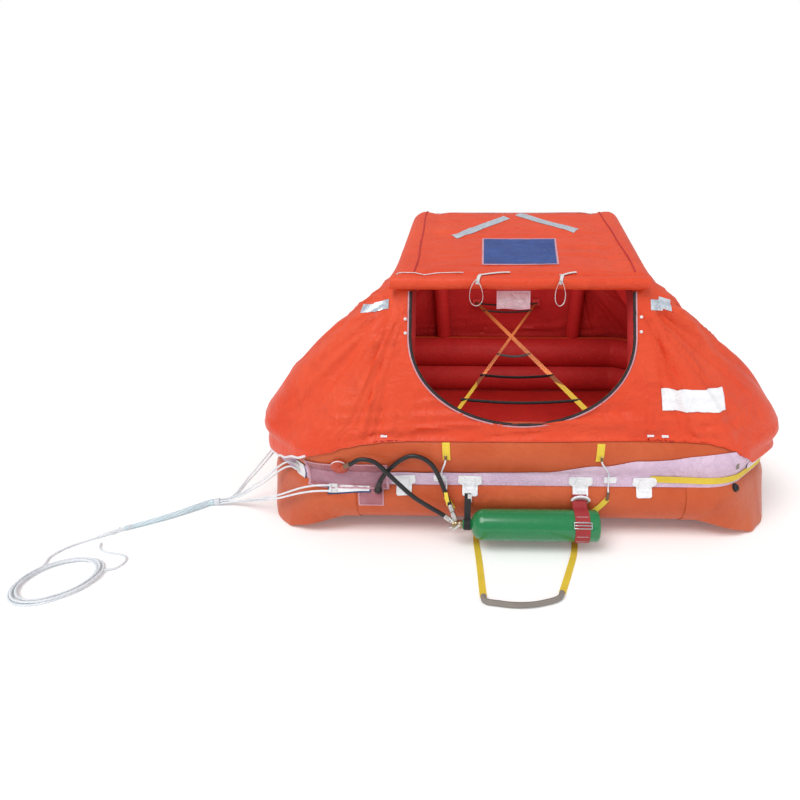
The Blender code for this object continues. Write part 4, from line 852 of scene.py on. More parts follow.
def arch_stations(wall, bend, roof, peak):
    """From the front foot of the right arch to its peak: point, outward, stretch and share of that stretch."""
    foot = arch_foot(ARCH_X)
    corner, top = Vector((ARCH_X, -SHOULDER_Y, SHOULDER_Z)), Vector((ARCH_X, 0, PEAK_Z))
    down, up = (foot - corner).normalized(), (top - corner).normalized()
    half = down.angle(up) / 2
    reach = ARCH_BEND / tan(half)
    middle = corner + (down + up).normalized() * (ARCH_BEND / sin(half))
    first, last = corner + down * reach, corner + up * reach
    out_roof = Vector((0, -up.z, up.y))
    stations = [(foot.lerp(first, t), WALL_OUT, "wall", t) for t in wall]
    for t in bend:
        outward = WALL_OUT.slerp(out_roof, t).normalized()
        stations.append((middle + outward * ARCH_BEND, outward, "bend", t))
    lean = atan2(up.z, up.y)
    turn_z = PEAK_Z - ARCH_BEND / cos(lean)
    turn = Vector((ARCH_X, -ARCH_BEND * sin(lean), turn_z + ARCH_BEND * cos(lean)))
    stations += [(last.lerp(turn, t), out_roof, "roof", t * (1 - turn.y / last.y)) for t in roof]
    for t in peak:
        outward = Vector((0, -sin(lean * (1 - t)), cos(lean * (1 - t))))
        spot = Vector((ARCH_X, 0, turn_z)) + outward * ARCH_BEND
        stations.append((spot, outward, "roof", 1 - spot.y / last.y))
    return stations


def tube_station(stretch, share):
    """The point of the tubes' middle line that the cloth comes down to, and its outward direction."""
    straight_x, straight_y = SIDE_X - CORNER_CUT - CORNER_IN, -(SIDE_Y - CORNER_CUT - CORNER_IN)
    if stretch == "wall":
        return Vector((ARCH_X + (straight_x - ARCH_X) * share, -SIDE_Y, UPPER_Z)), Vector((0, -1, 0))
    if stretch == "roof":
        return Vector((SIDE_X, straight_y * (1 - share), UPPER_Z)), Vector((1, 0, 0))
    arc = CORNER_BEND * radians(45)
    slant = CORNER_CUT * sqrt(2) - 2 * CORNER_IN
    run = share * (2 * arc + slant)
    angle = radians(-90 + min(run, arc) / arc * 45 + max(0, run - arc - slant) / arc * 45)
    out = Vector((cos(angle), sin(angle), 0))
    if run > arc + slant:
        return Vector((SIDE_X - CORNER_BEND, straight_y, UPPER_Z)) + out * CORNER_BEND, out
    first = Vector((straight_x, -SIDE_Y + CORNER_BEND, UPPER_Z))
    return first + out * CORNER_BEND + Vector((1, 1, 0)).normalized() * max(0, run - arc), out


def slackness(stretch, share):
    """Turn of the cloth at its foot and its top, and its bulge, along the arch."""
    if stretch == "wall":
        return 0, 0, 0
    if stretch == "bend":
        return TAUT_FOOT * eased(share), TAUT_TOP * share, SWELL * eased(share)
    grown = eased(share / SLACK_FROM)
    return (TAUT_FOOT + (SLACK_FOOT - TAUT_FOOT) * grown, TAUT_TOP + (SLACK_TOP - TAUT_TOP) * grown,
            SWELL + (SWELL_SLACK - SWELL) * grown)


def cloth_line(station, hem):
    """One line of the cloth from its hem over the tube and up to the top of the arch."""
    arch, over_arch, stretch, share = station
    tube, out = tube_station(stretch, share)
    gap = arch - tube
    tilt = WALL_TILT
    if stretch != "wall":
        level = -gap.dot(out)
        tilt = atan2(level, gap.z) + asin((CANOPY_R - SHELL_R) / hypot(level, gap.z))
    foot_turn, top_turn, swell = slackness(stretch, share)
    leave, arrive = tilt + radians(foot_turn), tilt - radians(top_turn)
    out_low = out * cos(leave) + UPRIGHT * sin(leave)
    out_high = out * cos(arrive) + UPRIGHT * sin(arrive)
    along = Vector((0, over_arch.z, -over_arch.y))
    out_high = (out_high - along * out_high.dot(along)).normalized()
    start, end = tube + out_low * CANOPY_R, arch + out_high * SHELL_R
    run = end - start
    foot = tube + out * CANOPY_R
    hem_z = HEM_LOW if abs(foot.y) < SIDE_Y - 0.20 else read_off(hem, abs(foot.x))
    hangs = max(0, UPPER_Z - hem_z)
    first = min(asin(max(0, hem_z - UPPER_Z) / CANOPY_R), leave)
    over = (leave - first) * CANOPY_R
    at_foot = swell * hump(SWELL_AT, 0, SWELL_TAPER)
    line = []
    for step in range(CANOPY_WRAPS):
        done = (hangs + over) * step / CANOPY_WRAPS
        if done < hangs:
            line.append(foot - UPRIGHT * (hangs - done))
            continue
        angle = first + (done - hangs) / CANOPY_R
        line.append(tube + (out * cos(angle) + UPRIGHT * sin(angle)) * (CANOPY_R + at_foot * angle / leave))
    pull_low = run - out_low * run.dot(out_low)
    pull_high = run - out_high * run.dot(out_high)
    if run.length > 0.0001:
        pull_low *= run.length / pull_low.length
        pull_high *= run.length / pull_high.length
    for t in shares(CANOPY_ROWS):
        line.append(bent_run(start, end, pull_low, pull_high, t)
                    + out_low * swell * hump(t, SWELL_AT, SWELL_TAPER) * (1 - t))
    return line + [arch + out_high.slerp(over_arch, t).normalized() * SHELL_R for t in shares(CANOPY_TOPS)[1:]]


def flipped(line, flip_x, flip_y):
    return [Vector((spot.x * flip_x, spot.y * flip_y, spot.z)) for spot in line]


# The entrance

DOOR_HALF = 0.424
DOOR_SIDE_Z = 0.80
DOOR_SILL_Z = 0.480
DOOR_TOP_Z = 0.975
DOOR_ROUND = 0.92          # power of its foot's outline, which is rounder than half an ellipse


def door_outline(steps, top_z):
    """The entrance as (x, z): straight sides and a round foot."""
    foot = [(cos(angle) * DOOR_HALF, DOOR_SIDE_Z - abs(sin(angle)) ** DOOR_ROUND * (DOOR_SIDE_Z - DOOR_SILL_Z))
            for angle in (pi + pi * step / steps for step in range(steps + 1))]
    return [(-DOOR_HALF, top_z)] + foot + [(DOOR_HALF, top_z)]


def cut_entrance(mesh):
    """Cuts the convex outline of the entrance out of the front wall, one straight edge after another."""
    outline = door_outline(28, DOOR_TOP_Z)
    bm = bmesh.new()
    bm.from_mesh(mesh)
    inside = [face for face in bm.faces if face.calc_center_median().y < -0.5
              and abs(face.calc_center_median().x) < 0.56 and face.calc_center_median().z > 0.42]
    for (x0, z0), (x1, z1) in zip(outline, outline[1:] + outline[:1]):
        away = Vector((z1 - z0, 0, x0 - x1)).normalized() * -1
        middle = Vector(((x0 + x1) / 2, 0, (z0 + z1) / 2))
        if away.dot(Vector((0, 0, 0.75)) - middle) > 0:
            away.negate()
        geometry = set(inside)
        for face in inside:
            geometry.update(face.edges)
            geometry.update(face.verts)
        cut = bmesh.ops.bisect_plane(bm, geom=list(geometry), dist=0.000001, plane_co=middle, plane_no=away)
        faces = [item for item in cut["geom"] if isinstance(item, bmesh.types.BMFace)]
        inside = [face for face in faces if away.dot(face.calc_center_median() - middle) < 0]
    bmesh.ops.delete(bm, geom=inside, context="FACES")
    bm.to_mesh(mesh)
    bm.free()


# Folds in the tent's cloth, each a depth along the cloth's normal

def slope_folds(spot, side, across):
    """Long folds that run from the shoulder down to the corner, and the hollow and the bulge above the hem."""
    ray = spot - Vector((side * ARCH_X, -SHOULDER_Y if spot.y < 0 else SHOULDER_Y, SHOULDER_Z))
    away = ray.length
    angle = atan2(abs(ray.x) + abs(ray.y) * 0.6, -ray.z)
    grown = eased(away / 0.22) * eased((spot.z - 0.30) / 0.20)
    fade = eased((0.95 - away) / 0.5)
    depth = ridge(0.5, 2.4, (angle * 7.0, away * 1.1, side * 2.0 + spot.y * 0.4), 1) * 0.0130 * grown
    depth += ridge(0.4, 2.2, (angle * 21, away * 1.6, side * 5.0), 2) * 0.0095 * grown * fade
    corner = eased((across - 0.72) / 0.22)
    slack, bulge, shelf = (0.030, 0.010, 0.013) if side < 0 else (0.016, 0.016, 0.0)
    depth -= corner * eased((spot.z - 0.360) / 0.06) * (slack * hump(spot.z, 0.530, 0.095)
                                                        + 0.014 * hump(spot.z, 0.415, 0.050))
    depth += corner * bulge * hump(spot.z, 0.300, 0.040)
    return depth + shelf * hump(spot.z, 0.80, 0.085) * eased((across - ARCH_X - 0.04) / 0.10)


def level_folds(spot, across, strength):
    """Level folds below the entrance and along the back."""
    folds = ridge(0.45, 2.3, (spot.x * 1.3, spot.z * 24 - spot.x * 2.0, 3.0), 3) * 0.0125
    folds += ridge(0.4, 2.2, (spot.x * 2.2, spot.z * 52 - spot.x * 4.5, 5.0), 4) * 0.0065
    return folds * strength * eased((0.95 - across) / 0.15)


def roof_folds(spot, side, across):
    """The roof's dents between its arches, and wrinkles across it."""
    depth = -0.010 * (1 - (across / ARCH_X) ** 2) * max(0, 1 - abs(abs(spot.y) - 0.36) / 0.40)
    inner = eased((ARCH_X - 0.05 - across) / 0.05)
    depth += ridge(0.3, 2, (spot.x * 1.6, spot.y * 19 + spot.x * 2.2 * side, 11.0), 7) \
        * 0.0052 * (0.35 + 0.65 * eased(across / 0.3)) * inner
    fine = crease_noise((spot.x * 2.6, spot.y * 46 + spot.x * 3, 13.0), 8)
    return depth + fine * 0.0022 * inner * (0.5 + 0.5 * eased(spot.x / 0.3))


def fold_depth(spot):
    """All the folds at a spot. Where an arch lies under the cloth, no fold goes inwards."""
    side = 1 if spot.x > 0 else -1
    across = abs(spot.x)
    depth = 0.0
    if across > ARCH_X * 0.9 and spot.z < 1.0:
        depth += slope_folds(spot, side, across)
    front = eased((abs(spot.y) - 0.60) / 0.15)
    low = eased((0.64 - spot.z) / 0.16) * eased((spot.z - 0.405) / 0.04)
    if front > 0 and low > 0 and across < 0.95:
        depth += level_folds(spot, across, low * front)
    depth += eased((0.47 - spot.z) / 0.06) * front * 0.0018 * crease_noise((spot.x * 16, spot.z * 6, 8.0), 6)
    if spot.z > 0.93:
        height, middle, width = (0.012, 0.010, 0.026) if side < 0 else (0.011, 0.005, 0.042)
        depth += height * hump(spot.y, 0, 0.035) * hump(across - ARCH_X, -middle, width)
        depth -= 0.0060 * hump(across - ARCH_X, -0.085, 0.030) * eased((spot.z - 0.95) / 0.05)
        if across < ARCH_X:
            depth += roof_folds(spot, side, across)
    if spot.z > 0.52:
        beside = hump(across - ARCH_X, 0.075, 0.030)
        depth -= beside * 0.0060 * eased((spot.z - 0.52) / 0.1) * (0.7 + 0.6 * crease_noise(spot * 9, 9))
    on_arch = exp(-((across - ARCH_X) / 0.058) ** 4)
    return depth + on_arch * (max(depth, 0.0) * 0.6 - depth)


def nearest_station(stations, place):
    """The tubes' point and outward direction beside a place, and how far outside the middle line it is."""
    flat = Vector((place.x, place.y, 0))
    point, out, run = min(stations, key=lambda station: (station[0] - flat).length_squared)
    return out, (flat - point).dot(out)


def join_hem(bm):
    """Where the lower edge is raised, the cloth ends in a seam on the tube and comes away from it gently."""
    stations = ring_line(0.03, 4.0)
    for spot in bm.verts:
        place = spot.co
        if place.z > 0.48:
            continue
        rows = HEM_POINTS_RIGHT if place.x > 0 and place.y < 0 else HEM_POINTS
        hem = read_off(rows, abs(place.x)) if place.y > 0 or place.y < -0.62 else 0.0
        if place.y < -0.20:
            corner = 0.318 if place.x > 0 else 0.276
            hem = max(hem, HEM_LOW + (corner - HEM_LOW) * eased((-place.y - 0.20) / 0.35))
        if hem < UPPER_Z + 0.004 or abs(place.x) > 0.95 or abs(place.y) < SIDE_Y - 0.19:
            spot.co.z = max(place.z, hem)
            continue
        out, reach = nearest_station(stations, place)
        height = max(place.z, hem)
        on_tube = sqrt(max(0.0, TUBE_R ** 2 - (height - UPPER_Z) ** 2)) + 0.0040
        change = on_tube + (reach - on_tube) * eased((height - hem) / 0.038) - reach
        spot.co = place + out * change + UPRIGHT * (height - place.z)


def keep_off_tubes(mesh):
    """The cloth lies on the upper tube and never goes into it, however deep its folds are."""
    stations = ring_line(0.03, 4.0)
    least = TUBE_R + 0.0042
    for spot in mesh.vertices:
        place = spot.co
        inside = max(abs(place.x) - SIDE_X, abs(place.y) - SIDE_Y) < -0.20
        if place.z > UPPER_Z + least or place.z < UPPER_Z - 0.04 or inside:
            continue
        out, reach = nearest_station(stations, place)
        far = hypot(reach, place.z - UPPER_Z)
        if reach > 0 and far < least:
            spot.co = place + out * reach * (least / far - 1) + UPRIGHT * (place.z - UPPER_Z) * (least / far - 1)


def make_canopy():
    """One sheet of cloth over both arches, open at the entrance, with a lining inside."""
    stations = arch_stations(shares(26)[:-1], shares(34)[:-1], shares(44)[:-1], shares(4))
    plain = [cloth_line(station, HEM_POINTS) for station in stations]
    front_right = [cloth_line(station, HEM_POINTS_RIGHT) for station in stations]
    front_left = [flipped(line, -1, 1) for line in plain]
    back_right = [flipped(line, 1, -1) for line in plain]
    back_left = [flipped(line, -1, 1) for line in back_right]
    sheets, borders = [], []
    for label, front, back in (("left", front_left, back_left), ("right", front_right, back_right)):
        half = front + back[-2::-1]
        sheets.append(skin("canopy_" + label + "_half", half))
        borders.append(front[0][:CANOPY_WRAPS + 1] + [line[-1] for line in half] + back[0][:CANOPY_WRAPS + 1][::-1])
    sheets.append(skin("canopy_middle", [[left.lerp(right, t) for t in shares(56)] for left, right in zip(*borders)]))
    bm = bmesh.new()
    for mesh in sheets:
        bm.from_mesh(mesh)
    mesh = bpy.data.meshes.new("canopy")
    bmesh.ops.remove_doubles(bm, verts=bm.verts[:], dist=0.0008)
    join_hem(bm)
    bmesh.ops.remove_doubles(bm, verts=bm.verts[:], dist=0.0008)
    bmesh.ops.dissolve_degenerate(bm, edges=bm.edges[:], dist=0.0004)
    longer = [edge for edge in bm.edges if edge.calc_length() > 0.019
              and all(spot.co.y < -0.25 and spot.co.z > 0.36 for spot in edge.verts)]
    bmesh.ops.subdivide_edges(bm, edges=longer, cuts=1, use_grid_fill=True)
    bmesh.ops.recalc_face_normals(bm, faces=bm.faces[:])
    if sum(face.calc_area() * face.normal.z for face in bm.faces) < 0:
        bmesh.ops.reverse_faces(bm, faces=bm.faces[:])
    bm.to_mesh(mesh)
    bm.free()
    cut_entrance(mesh)
    piece = mesh_piece("canopy", mesh)
    for vertex, normal in zip(mesh.vertices, [vertex.normal.copy() for vertex in mesh.vertices]):
        vertex.co += normal * fold_depth(vertex.co)
    mesh.update()
    keep_off_tubes(mesh)
    give_finish(piece, "canopy_cloth", "lining_cloth")
    modify(piece, "SOLIDIFY", thickness=FABRIC, offset=-1, material_offset=1, material_offset_rim=0)
    settle(piece, None, ("canopy_left", "canopy_right", "canopy_front", "canopy_roof", "canopy_back"),
           60)
    return piece


# Tubes, arches and water pockets

TUBE_SIDES = 72


def make_tube(name, middle_z, highest, lowest, seam_angles, node):
    """An air-filled tube, pressed flat at one height, with taped seams and small puckers at its turns."""
    rows = []
    line = ring_line(0.028, 3.0)
    total = line[-1][2] + 0.03
    angles = [2 * pi * step / TUBE_SIDES for step in range(TUBE_SIDES)]
    for point, out, run in line:
        row = []
        from_corner = (Vector((abs(point.x), abs(point.y), 0)) - corner_middle()).length
        near_turn = hump(min(abs(from_corner - 0.15), 0.3), 0, 0.09)
        place = (run / total * 8 + 0.37) % 1
        cross = min(place, 1 - place) * total / 8
        for angle in angles:
            reach = TUBE_R * cos(angle)
            height = max(lowest - middle_z, min(highest - middle_z, TUBE_R * sin(angle)))
            lift = 0.0
            for seam in seam_angles:
                gap = abs((angle * 180 / pi - seam + 180) % 360 - 180) * radians(1) * TUBE_R
                lift = max(lift, 0.0011 * eased((0.016 - gap) / 0.003))
            lift = max(lift, 0.0009 * eased((0.016 - cross) / 0.003))
            swell = 0.0016 * crease_noise((run * 3.1, cos(angle) * 1.3, sin(angle) * 1.3), 21)
            pucker = 0.0022 * near_turn * crease_noise((run * 34, cos(angle) * 2, sin(angle) * 2), 22)
            depth = min(0, swell - 0.001) + lift * 0.9 - 0.0009 - abs(pucker) * (0.4 + eased(-cos(angle) * 0.8))
            row.append(point + out * (reach + depth * cos(angle))
                       + UPRIGHT * (middle_z + height + depth * sin(angle) * 0.6))
        rows.append(row)
    piece = mesh_piece(name, skin(name, rows, True, True))
    give_finish(piece, "tube_cloth", "lining_cloth")
    for number, polygon in enumerate(piece.data.polygons):
        polygon.material_index = 1 if cos(angles[number % TUBE_SIDES] + pi / TUBE_SIDES) < -0.22 else 0
    weld(piece.data, 0.00002)
    settle(piece, None, (node,), 50)


def make_arches():
    """The two air-filled arches that hold the tent up, each closed by a round end."""
    for label, side in (("left", -1), ("right", 1)):
        half = [arch_foot(side * ARCH_X, 0.065), Vector((side * ARCH_X, -SHOULDER_Y, SHOULDER_Z)),
                Vector((side * ARCH_X, 0, PEAK_Z))]
        path = even(rounded(half + flipped(half[-2::-1], 1, -1), ARCH_BEND, 10), 0.02)
        aside = Vector((1, 0, 0))
        rows = []
        for number, point in enumerate(path):
            rise = aside.cross(heading_at(path, number)).normalized()
            close = (0.0, 0.75, 1.0)[min(number, len(path) - 1 - number, 2)]
            row = []
            for angle in (2 * pi * step / 32 for step in range(32)):
                swell = 0.0012 * crease_noise((number * 0.35, cos(angle), sin(angle) + side * 4), 31)
                row.append(point + (aside * cos(angle) + rise * sin(angle)) * (ARCH_R - 0.0012 + min(0, swell)) * close)
            rows.append(row)
        piece = mesh_piece("tent_arch_" + label, skin("tent_arch_" + label, rows, False, True))
        weld(piece.data, 0.00002)
        settle(piece, "lining_cloth", ("arch_" + label,), 60)


FOOT_REACH = 0.160
FOOT_INNER = 0.030
FOOT_ROUND = 0.010
POCKET_REACH = 0.275
POCKET_POINTS = 44


def pocket_section(weight):
    """Outline round the lower tube and the pocket's foot, from high outside to low inside."""
    ring_r = TUBE_R + 0.0014
    rounds = [(0.0, 0.0, ring_r)]
    for reach in (FOOT_REACH - FOOT_ROUND, FOOT_INNER):
        foot = Vector((reach, -LOWER_Z + FOOT_ROUND))
        spot = foot.normalized() * (ring_r - FOOT_ROUND + (foot.length - ring_r + FOOT_ROUND) * weight)
        rounds.append((spot.x, spot.y, FOOT_ROUND))
    outline = []
    for t in shares(180):
        angle = radians(52 - (52 + 128) * t)
        look = Vector((cos(angle), sin(angle)))
        x, y, radius = max(rounds, key=lambda one: one[0] * look.x + one[1] * look.y + one[2])
        outline.append(Vector((x + radius * look.x, y + radius * look.y, 0)))
    return even(outline, sum((b - a).length for a, b in zip(outline, outline[1:])) / (POCKET_POINTS - 1))


def make_pockets():
    """The cloth that spreads from the tube's corners down to the floor."""
    for label, flip_x, flip_y in (("front_left", -1, -1), ("front_right", 1, -1),
                                  ("back_left", -1, 1), ("back_right", 1, 1)):
        rows = []
        for t in shares(56):
            along = -POCKET_REACH + 2 * POCKET_REACH * t
            weight = eased((POCKET_REACH - 0.035 - abs(along)) / (POCKET_REACH - 0.075)) ** 1.15
            point, out = corner_frame(along)
            row = []
            for place, spot in enumerate(pocket_section(weight)):
                fold = 0.004 * weight * crease_noise((along * 14, place * 0.09, flip_x * 2 + flip_y), 41)
                fold *= eased(place / 6) * eased((POCKET_POINTS - 1 - place) / 6)
                away = Vector((spot.x, spot.y)).normalized()
                row.append(point + out * (spot.x + away.x * fold)
                           + UPRIGHT * max(0.0006, LOWER_Z + spot.y + away.y * fold))
            rows.append(flipped(row, flip_x, flip_y))
        piece = mesh_piece("corner_pocket_" + label, skin("corner_pocket_" + label, rows))
        outward_faces(piece.data, Vector((flip_x, flip_y, -0.3)))
        modify(piece, "SOLIDIFY", thickness=0.0012, offset=-1)
        settle(piece, "tube_cloth", ("water_pocket_" + label,), 40)


def make_band():
    """The lilac cloth that bridges the two tubes, and rises over the upper one at the front."""
    rows = []
    low_reach = sqrt(TUBE_R ** 2 - (LOWER_Z - CREASE_Z + BAND_HALF) ** 2) + 0.0014
    face, face_top = BAND_FACE - 0.0006, CREASE_Z + BAND_HALF * 0.6
    for point, out, run in ring_line(0.018, 3.0):
        spot = point + out * TUBE_R
        raised = spot.y < -SIDE_Y + 0.20 and not (spot.x > 0.9 and spot.y > -0.83)
        top = read_off(BAND_TOP_POINTS, spot.x) if raised else BAND_TOP
        ripple = crease_noise((spot.x * 11, spot.y * 11, 1.0), 51)
        fine = crease_noise((spot.x * 34, spot.y * 34, 2.0), 52)
        path = [(low_reach, CREASE_Z - BAND_HALF), (face - 0.0002, CREASE_Z - BAND_HALF * 0.62),
                (face, CREASE_Z), (face, face_top)]
        last_z = max(top + 0.0035 * ripple, 0.2770)
        for t in shares(8)[1:]:
            z = face_top + (last_z - face_top) * t
            path.append((max(sqrt(max(0.0, TUBE_R ** 2 - (z - UPPER_Z) ** 2)) + 0.0016, face), z))
        row = []
        for number, (reach, z) in enumerate(path):
            slack = (ripple * 0.0016 + fine * 0.0010) * (1 if 0 < number < 11 else 0)
            slack = min(slack, 0.0004) if z < BAND_TOP else (abs(slack) + 0.0004 if z > BAND_TOP else slack)
            row.append(point + out * (reach + slack) + UPRIGHT * z)
        rows.append(row)
    piece = mesh_piece("lilac_band", skin("lilac_band", rows, True, False))
    weld(piece.data, 0.00002)
    first = piece.data.polygons[0]
    if first.normal.dot(Vector((first.center.x, first.center.y, 0))) < 0:
        piece.data.flip_normals()
    modify(piece, "SOLIDIFY", thickness=0.0010, offset=-1)
    settle(piece, "lilac_cloth", ("tube_band",), 60)


FLOOR_Z = 0.068


def make_floor_cloth():
    """The floor between the tubes, with three air-filled channels across it showing as low swells."""
    inner = sqrt(TUBE_R ** 2 - (LOWER_Z - FLOOR_Z) ** 2) - 0.004
    ring = [point - out * inner for point, out, run in ring_line(0.05, 7.5)]
    rows = []
    for share in (1.0, 0.985, 0.96, 0.92, 0.86, 0.78, 0.68, 0.56, 0.42, 0.28, 0.14, 0.0):
        row = []
        for x, y in ((spot.x * share, spot.y * share) for spot in ring):
            channel = abs(sin(pi * (y + 0.9) / 0.30))
            swell = -0.0015 + 0.0045 * channel ** 0.6 * eased((1 - share) / 0.06)
            row.append(Vector((x, y, FLOOR_Z + swell + 0.0012 * crease_noise((x * 6, y * 6, 1), 61))))
        rows.append(row)
    piece = mesh_piece("floor_cloth", skin("floor_cloth", rows, False, True))
    outward_faces(piece.data, UPRIGHT)
    modify(piece, "SOLIDIFY", thickness=0.009, offset=-1)
    settle(piece, "floor_cloth", ("floor_panel",), 50)


def make_hull():
    canopy = make_canopy()
    make_tube("raft_tube_lower", LOWER_Z, CREASE_Z - GAP / 2, 0.0, (-30, 150), "lower_tube")
    make_tube("raft_tube_upper", UPPER_Z, 1.0, CREASE_Z + GAP / 2, (62, 150), "upper_tube")
    make_arches()
    make_pockets()
    make_band()
    make_floor_cloth()
    return canopy


# Sizes and routes of the lines, as in the model

HOSE_R = 0.009
HOSE_UPPER = [
    (-0.672, -1.006, 0.322), (-0.648, -1.016, 0.336), (-0.608, -1.020, 0.358), (-0.560, -1.021, 0.352),
    (-0.505, -1.022, 0.302), (-0.465, -1.019, 0.256), (-0.410, -1.020, 0.202), (-0.349, -1.024, 0.161),
    (-0.297, -1.031, 0.131), (-0.268, -1.038, 0.113)]
HOSE_LOWER = [
    (-0.549, -0.996, 0.236), (-0.5425, -1.0045, 0.255), (-0.524, -1.001, 0.285), (-0.489, -0.997, 0.321),
    (-0.456, -0.998, 0.348), (-0.417, -1.000, 0.366), (-0.375, -1.002, 0.359), (-0.342, -1.003, 0.335),
    (-0.320, -1.004, 0.298), (-0.302, -1.006, 0.252), (-0.279, -1.017, 0.191), (-0.262, -1.030, 0.146)]
PATCH_T = 0.003
BRIDLE_R = 0.004
LASHING = Vector((-1.345, -0.752, 0.0170))
LASHING_AXIS = Vector((0.97, 0.03, 0.12)).normalized()
LASHING_ASIDE = UPRIGHT.cross(LASHING_AXIS).normalized()
LASHING_RISE = LASHING_AXIS.cross(LASHING_ASIDE)
LASHING_R = 0.0150
LASHING_LONG = 0.028
LINE_CIRCLE = 0.0102       # radius on which the six lines enter the lashing
LINE_PLACES = [(150, 210), (90, 30), (330, 270)]
LINE_APART = 0.011
BUNDLE_ROOT = LASHING - LASHING_AXIS * (LASHING_LONG / 2 + 2 * GAP)
BUNDLE = [BUNDLE_ROOT, BUNDLE_ROOT - LASHING_AXIS * 0.012, (-1.4200, -0.7980, 0.0146), (-1.4850, -0.8620, 0.0130),
          (-1.5560, -0.9170, 0.0110), (-1.6260, -0.9650, 0.0095)]
BUNDLE_R = (0.0143, 0.0085)
PAINTER_R = 0.004
COIL_MIDDLE = Vector((-1.640, -1.280, 0))
COIL_JOIN = 0.130 + PAINTER_R + GAP
COIL_IN = 163
COIL_OUT = 8
COIL_LOW = PAINTER_R + GAP
COIL_HIGH = COIL_LOW + 0.0068
# one row for each knot in the coil: turns since the start, radius, height
COIL_TURNS = [(0.0, COIL_JOIN, COIL_LOW), (0.35, 0.1300, COIL_LOW), (1.0, 0.1225, COIL_LOW), (1.8, 0.1140, COIL_LOW),
              (2.45, 0.1065, COIL_LOW), (2.75, 0.1060, COIL_HIGH), (3.3, 0.1125, COIL_HIGH), (4.0, 0.1200, COIL_HIGH),
              (4.45, 0.1275, COIL_HIGH + 0.0006), ((COIL_OUT + 5 * 360 - COIL_IN) / 360, COIL_JOIN, COIL_HIGH + 0.0010)]
PAINTER_LINE = [(-1.6930, -1.0240, 0.0050), (-1.7280, -1.0540, 0.0042), (-1.7620, -1.0950, 0.0042),
                (-1.7780, -1.1500, 0.0042)]
PAINTER_TAIL = [(-1.4850, -1.2150, 0.0044), (-1.4750, -1.1800, 0.0042), (-1.4900, -1.1480, 0.0042),
                (-1.5300, -1.1300, 0.0042), (-1.5850, -1.1200, 0.0042), (-1.6280, -1.0980, 0.0042),
                (-1.6520, -1.0610, 0.0042)]
STIRRUP_WIDE = 0.024
STIRRUP_ROOT = radians(-40)
STEP_R = 0.010
STIRRUP_LEFT = [(-0.174, -0.9610, 0.050), (-0.173, -0.968, 0.012), (-0.172, -0.985, 0.0040), (-0.170, -1.020, 0.0022),
                (-0.160, -1.100, 0.0022), (-0.1366, -1.3322, 0.0022)]
STIRRUP_RIGHT = [(0.224, -0.9610, 0.050), (0.223, -0.968, 0.012), (0.222, -0.985, 0.0040), (0.218, -1.020, 0.0022),
                 (0.206, -1.080, 0.0022), (0.175, -1.180, 0.0022), (0.1317, -1.3072, 0.0022)]
STEP = [(-0.1365, -1.3330, 0.0102), (-0.1345, -1.3530, 0.0102), (-0.0800, -1.3710, 0.0102),
        (-0.0120, -1.3770, 0.0102), (0.0600, -1.3650, 0.0102), (0.1243, -1.3300, 0.0102), (0.1311, -1.3098, 0.0102)]
LINE_R = 0.0035
TAB_ANGLE = 17
TAB_LONG = 0.062
# one row for each entrance line: name, x of its tab, x of its patch
ENTRANCE_LINES = [("entrance_line_left", -0.287, -0.306), ("entrance_line_right", 0.304, 0.340)]
ROLL_R = 0.028
ROLL_Z = 0.985
ROLL_ENDS = (-0.505, 0.475)
TIE_R = 0.004
TIE_Z = 0.952
TIE_HALF_LONG = 0.048
# one row for each loop of tape that ties the rolled door: side, x, half width
DOOR_TIES = [("left", -0.175, 0.026), ("right", 0.142, 0.020)]


def make_hoses():
    for name, route, inlet_finish in (("hose_upper", HOSE_UPPER, "ferrule_brown"),
                                      ("hose_lower", HOSE_LOWER, "moulded_black")):
        path = routed(route, 0.006)
        total = run_lengths(path)[-1]
        piece = line_tube(name + "_rubber", path, HOSE_R * 0.97, "hose_rubber", "rubber_black", (name,), sides=20)
        ends = [collar(name + "_ferrule_valve", path, HOSE_R * 1.14, total - 0.030, total - 0.001, "valve_steel"),
                collar(name + "_ferrule_inlet", path, HOSE_R * 1.16, 0.001, 0.030, inlet_finish)]
        declare_line(path, pieces=ends)


def seated_y(tilt, height, top):
    """How far forward a plate's back is at a height, leaning by tilt against the band and the lower tube."""
    spots = [(SIDE_Y + BAND_FACE, min(CREASE_Z + BAND_HALF, height + top * cos(tilt)))]
    spots += [(SIDE_Y + TUBE_R * cos(radians(turn)), LOWER_Z + TUBE_R * sin(radians(turn))) for turn in range(60)]
    reach = max(y * cos(tilt) + (z - height) * sin(tilt) for y, z in spots)
    return -(reach + GAP) / cos(tilt)


def bridle_spots():
    """The three bridle patches: name, centre of the back, facing, width, height, side the lines leave on."""
    spot, out = corner_frame(0.078)
    seat = -(spot + out * (BAND_FACE + 0.001)) + UPRIGHT * CREASE_Z
    lean = radians(26)
    return [("side", Vector((-SIDE_X - BAND_FACE - 0.005, -0.610, CREASE_Z - 0.012)), Vector((-1, 0, 0)), 0.070, 0.050, 1),
            ("corner", seat, -out, 0.086, 0.060, -1),
            ("front", Vector((-0.672, seated_y(lean, 0.212, 0.018), 0.212)), Vector((0, -cos(lean), sin(lean))),
             0.160, 0.036, -1)]


def bridle_route(centre, out, width, side, apart, end):
    """From a patch's face, off its edge, and with a little sag to the lashing."""
    across = UPRIGHT.cross(out).normalized() * side
    up = out.cross(across) * side
    start = centre + out * (PATCH_T + BRIDLE_R + GAP) + up * apart + across * (width / 2 - 0.012)
    leave = start + across * 0.030 + out * 0.001
    arrive = end + LASHING_AXIS * 0.020
    middle = (leave + arrive) / 2 - Vector((0, 0, 0.010))
    return routed([start, leave, middle, arrive, end], 0.004)


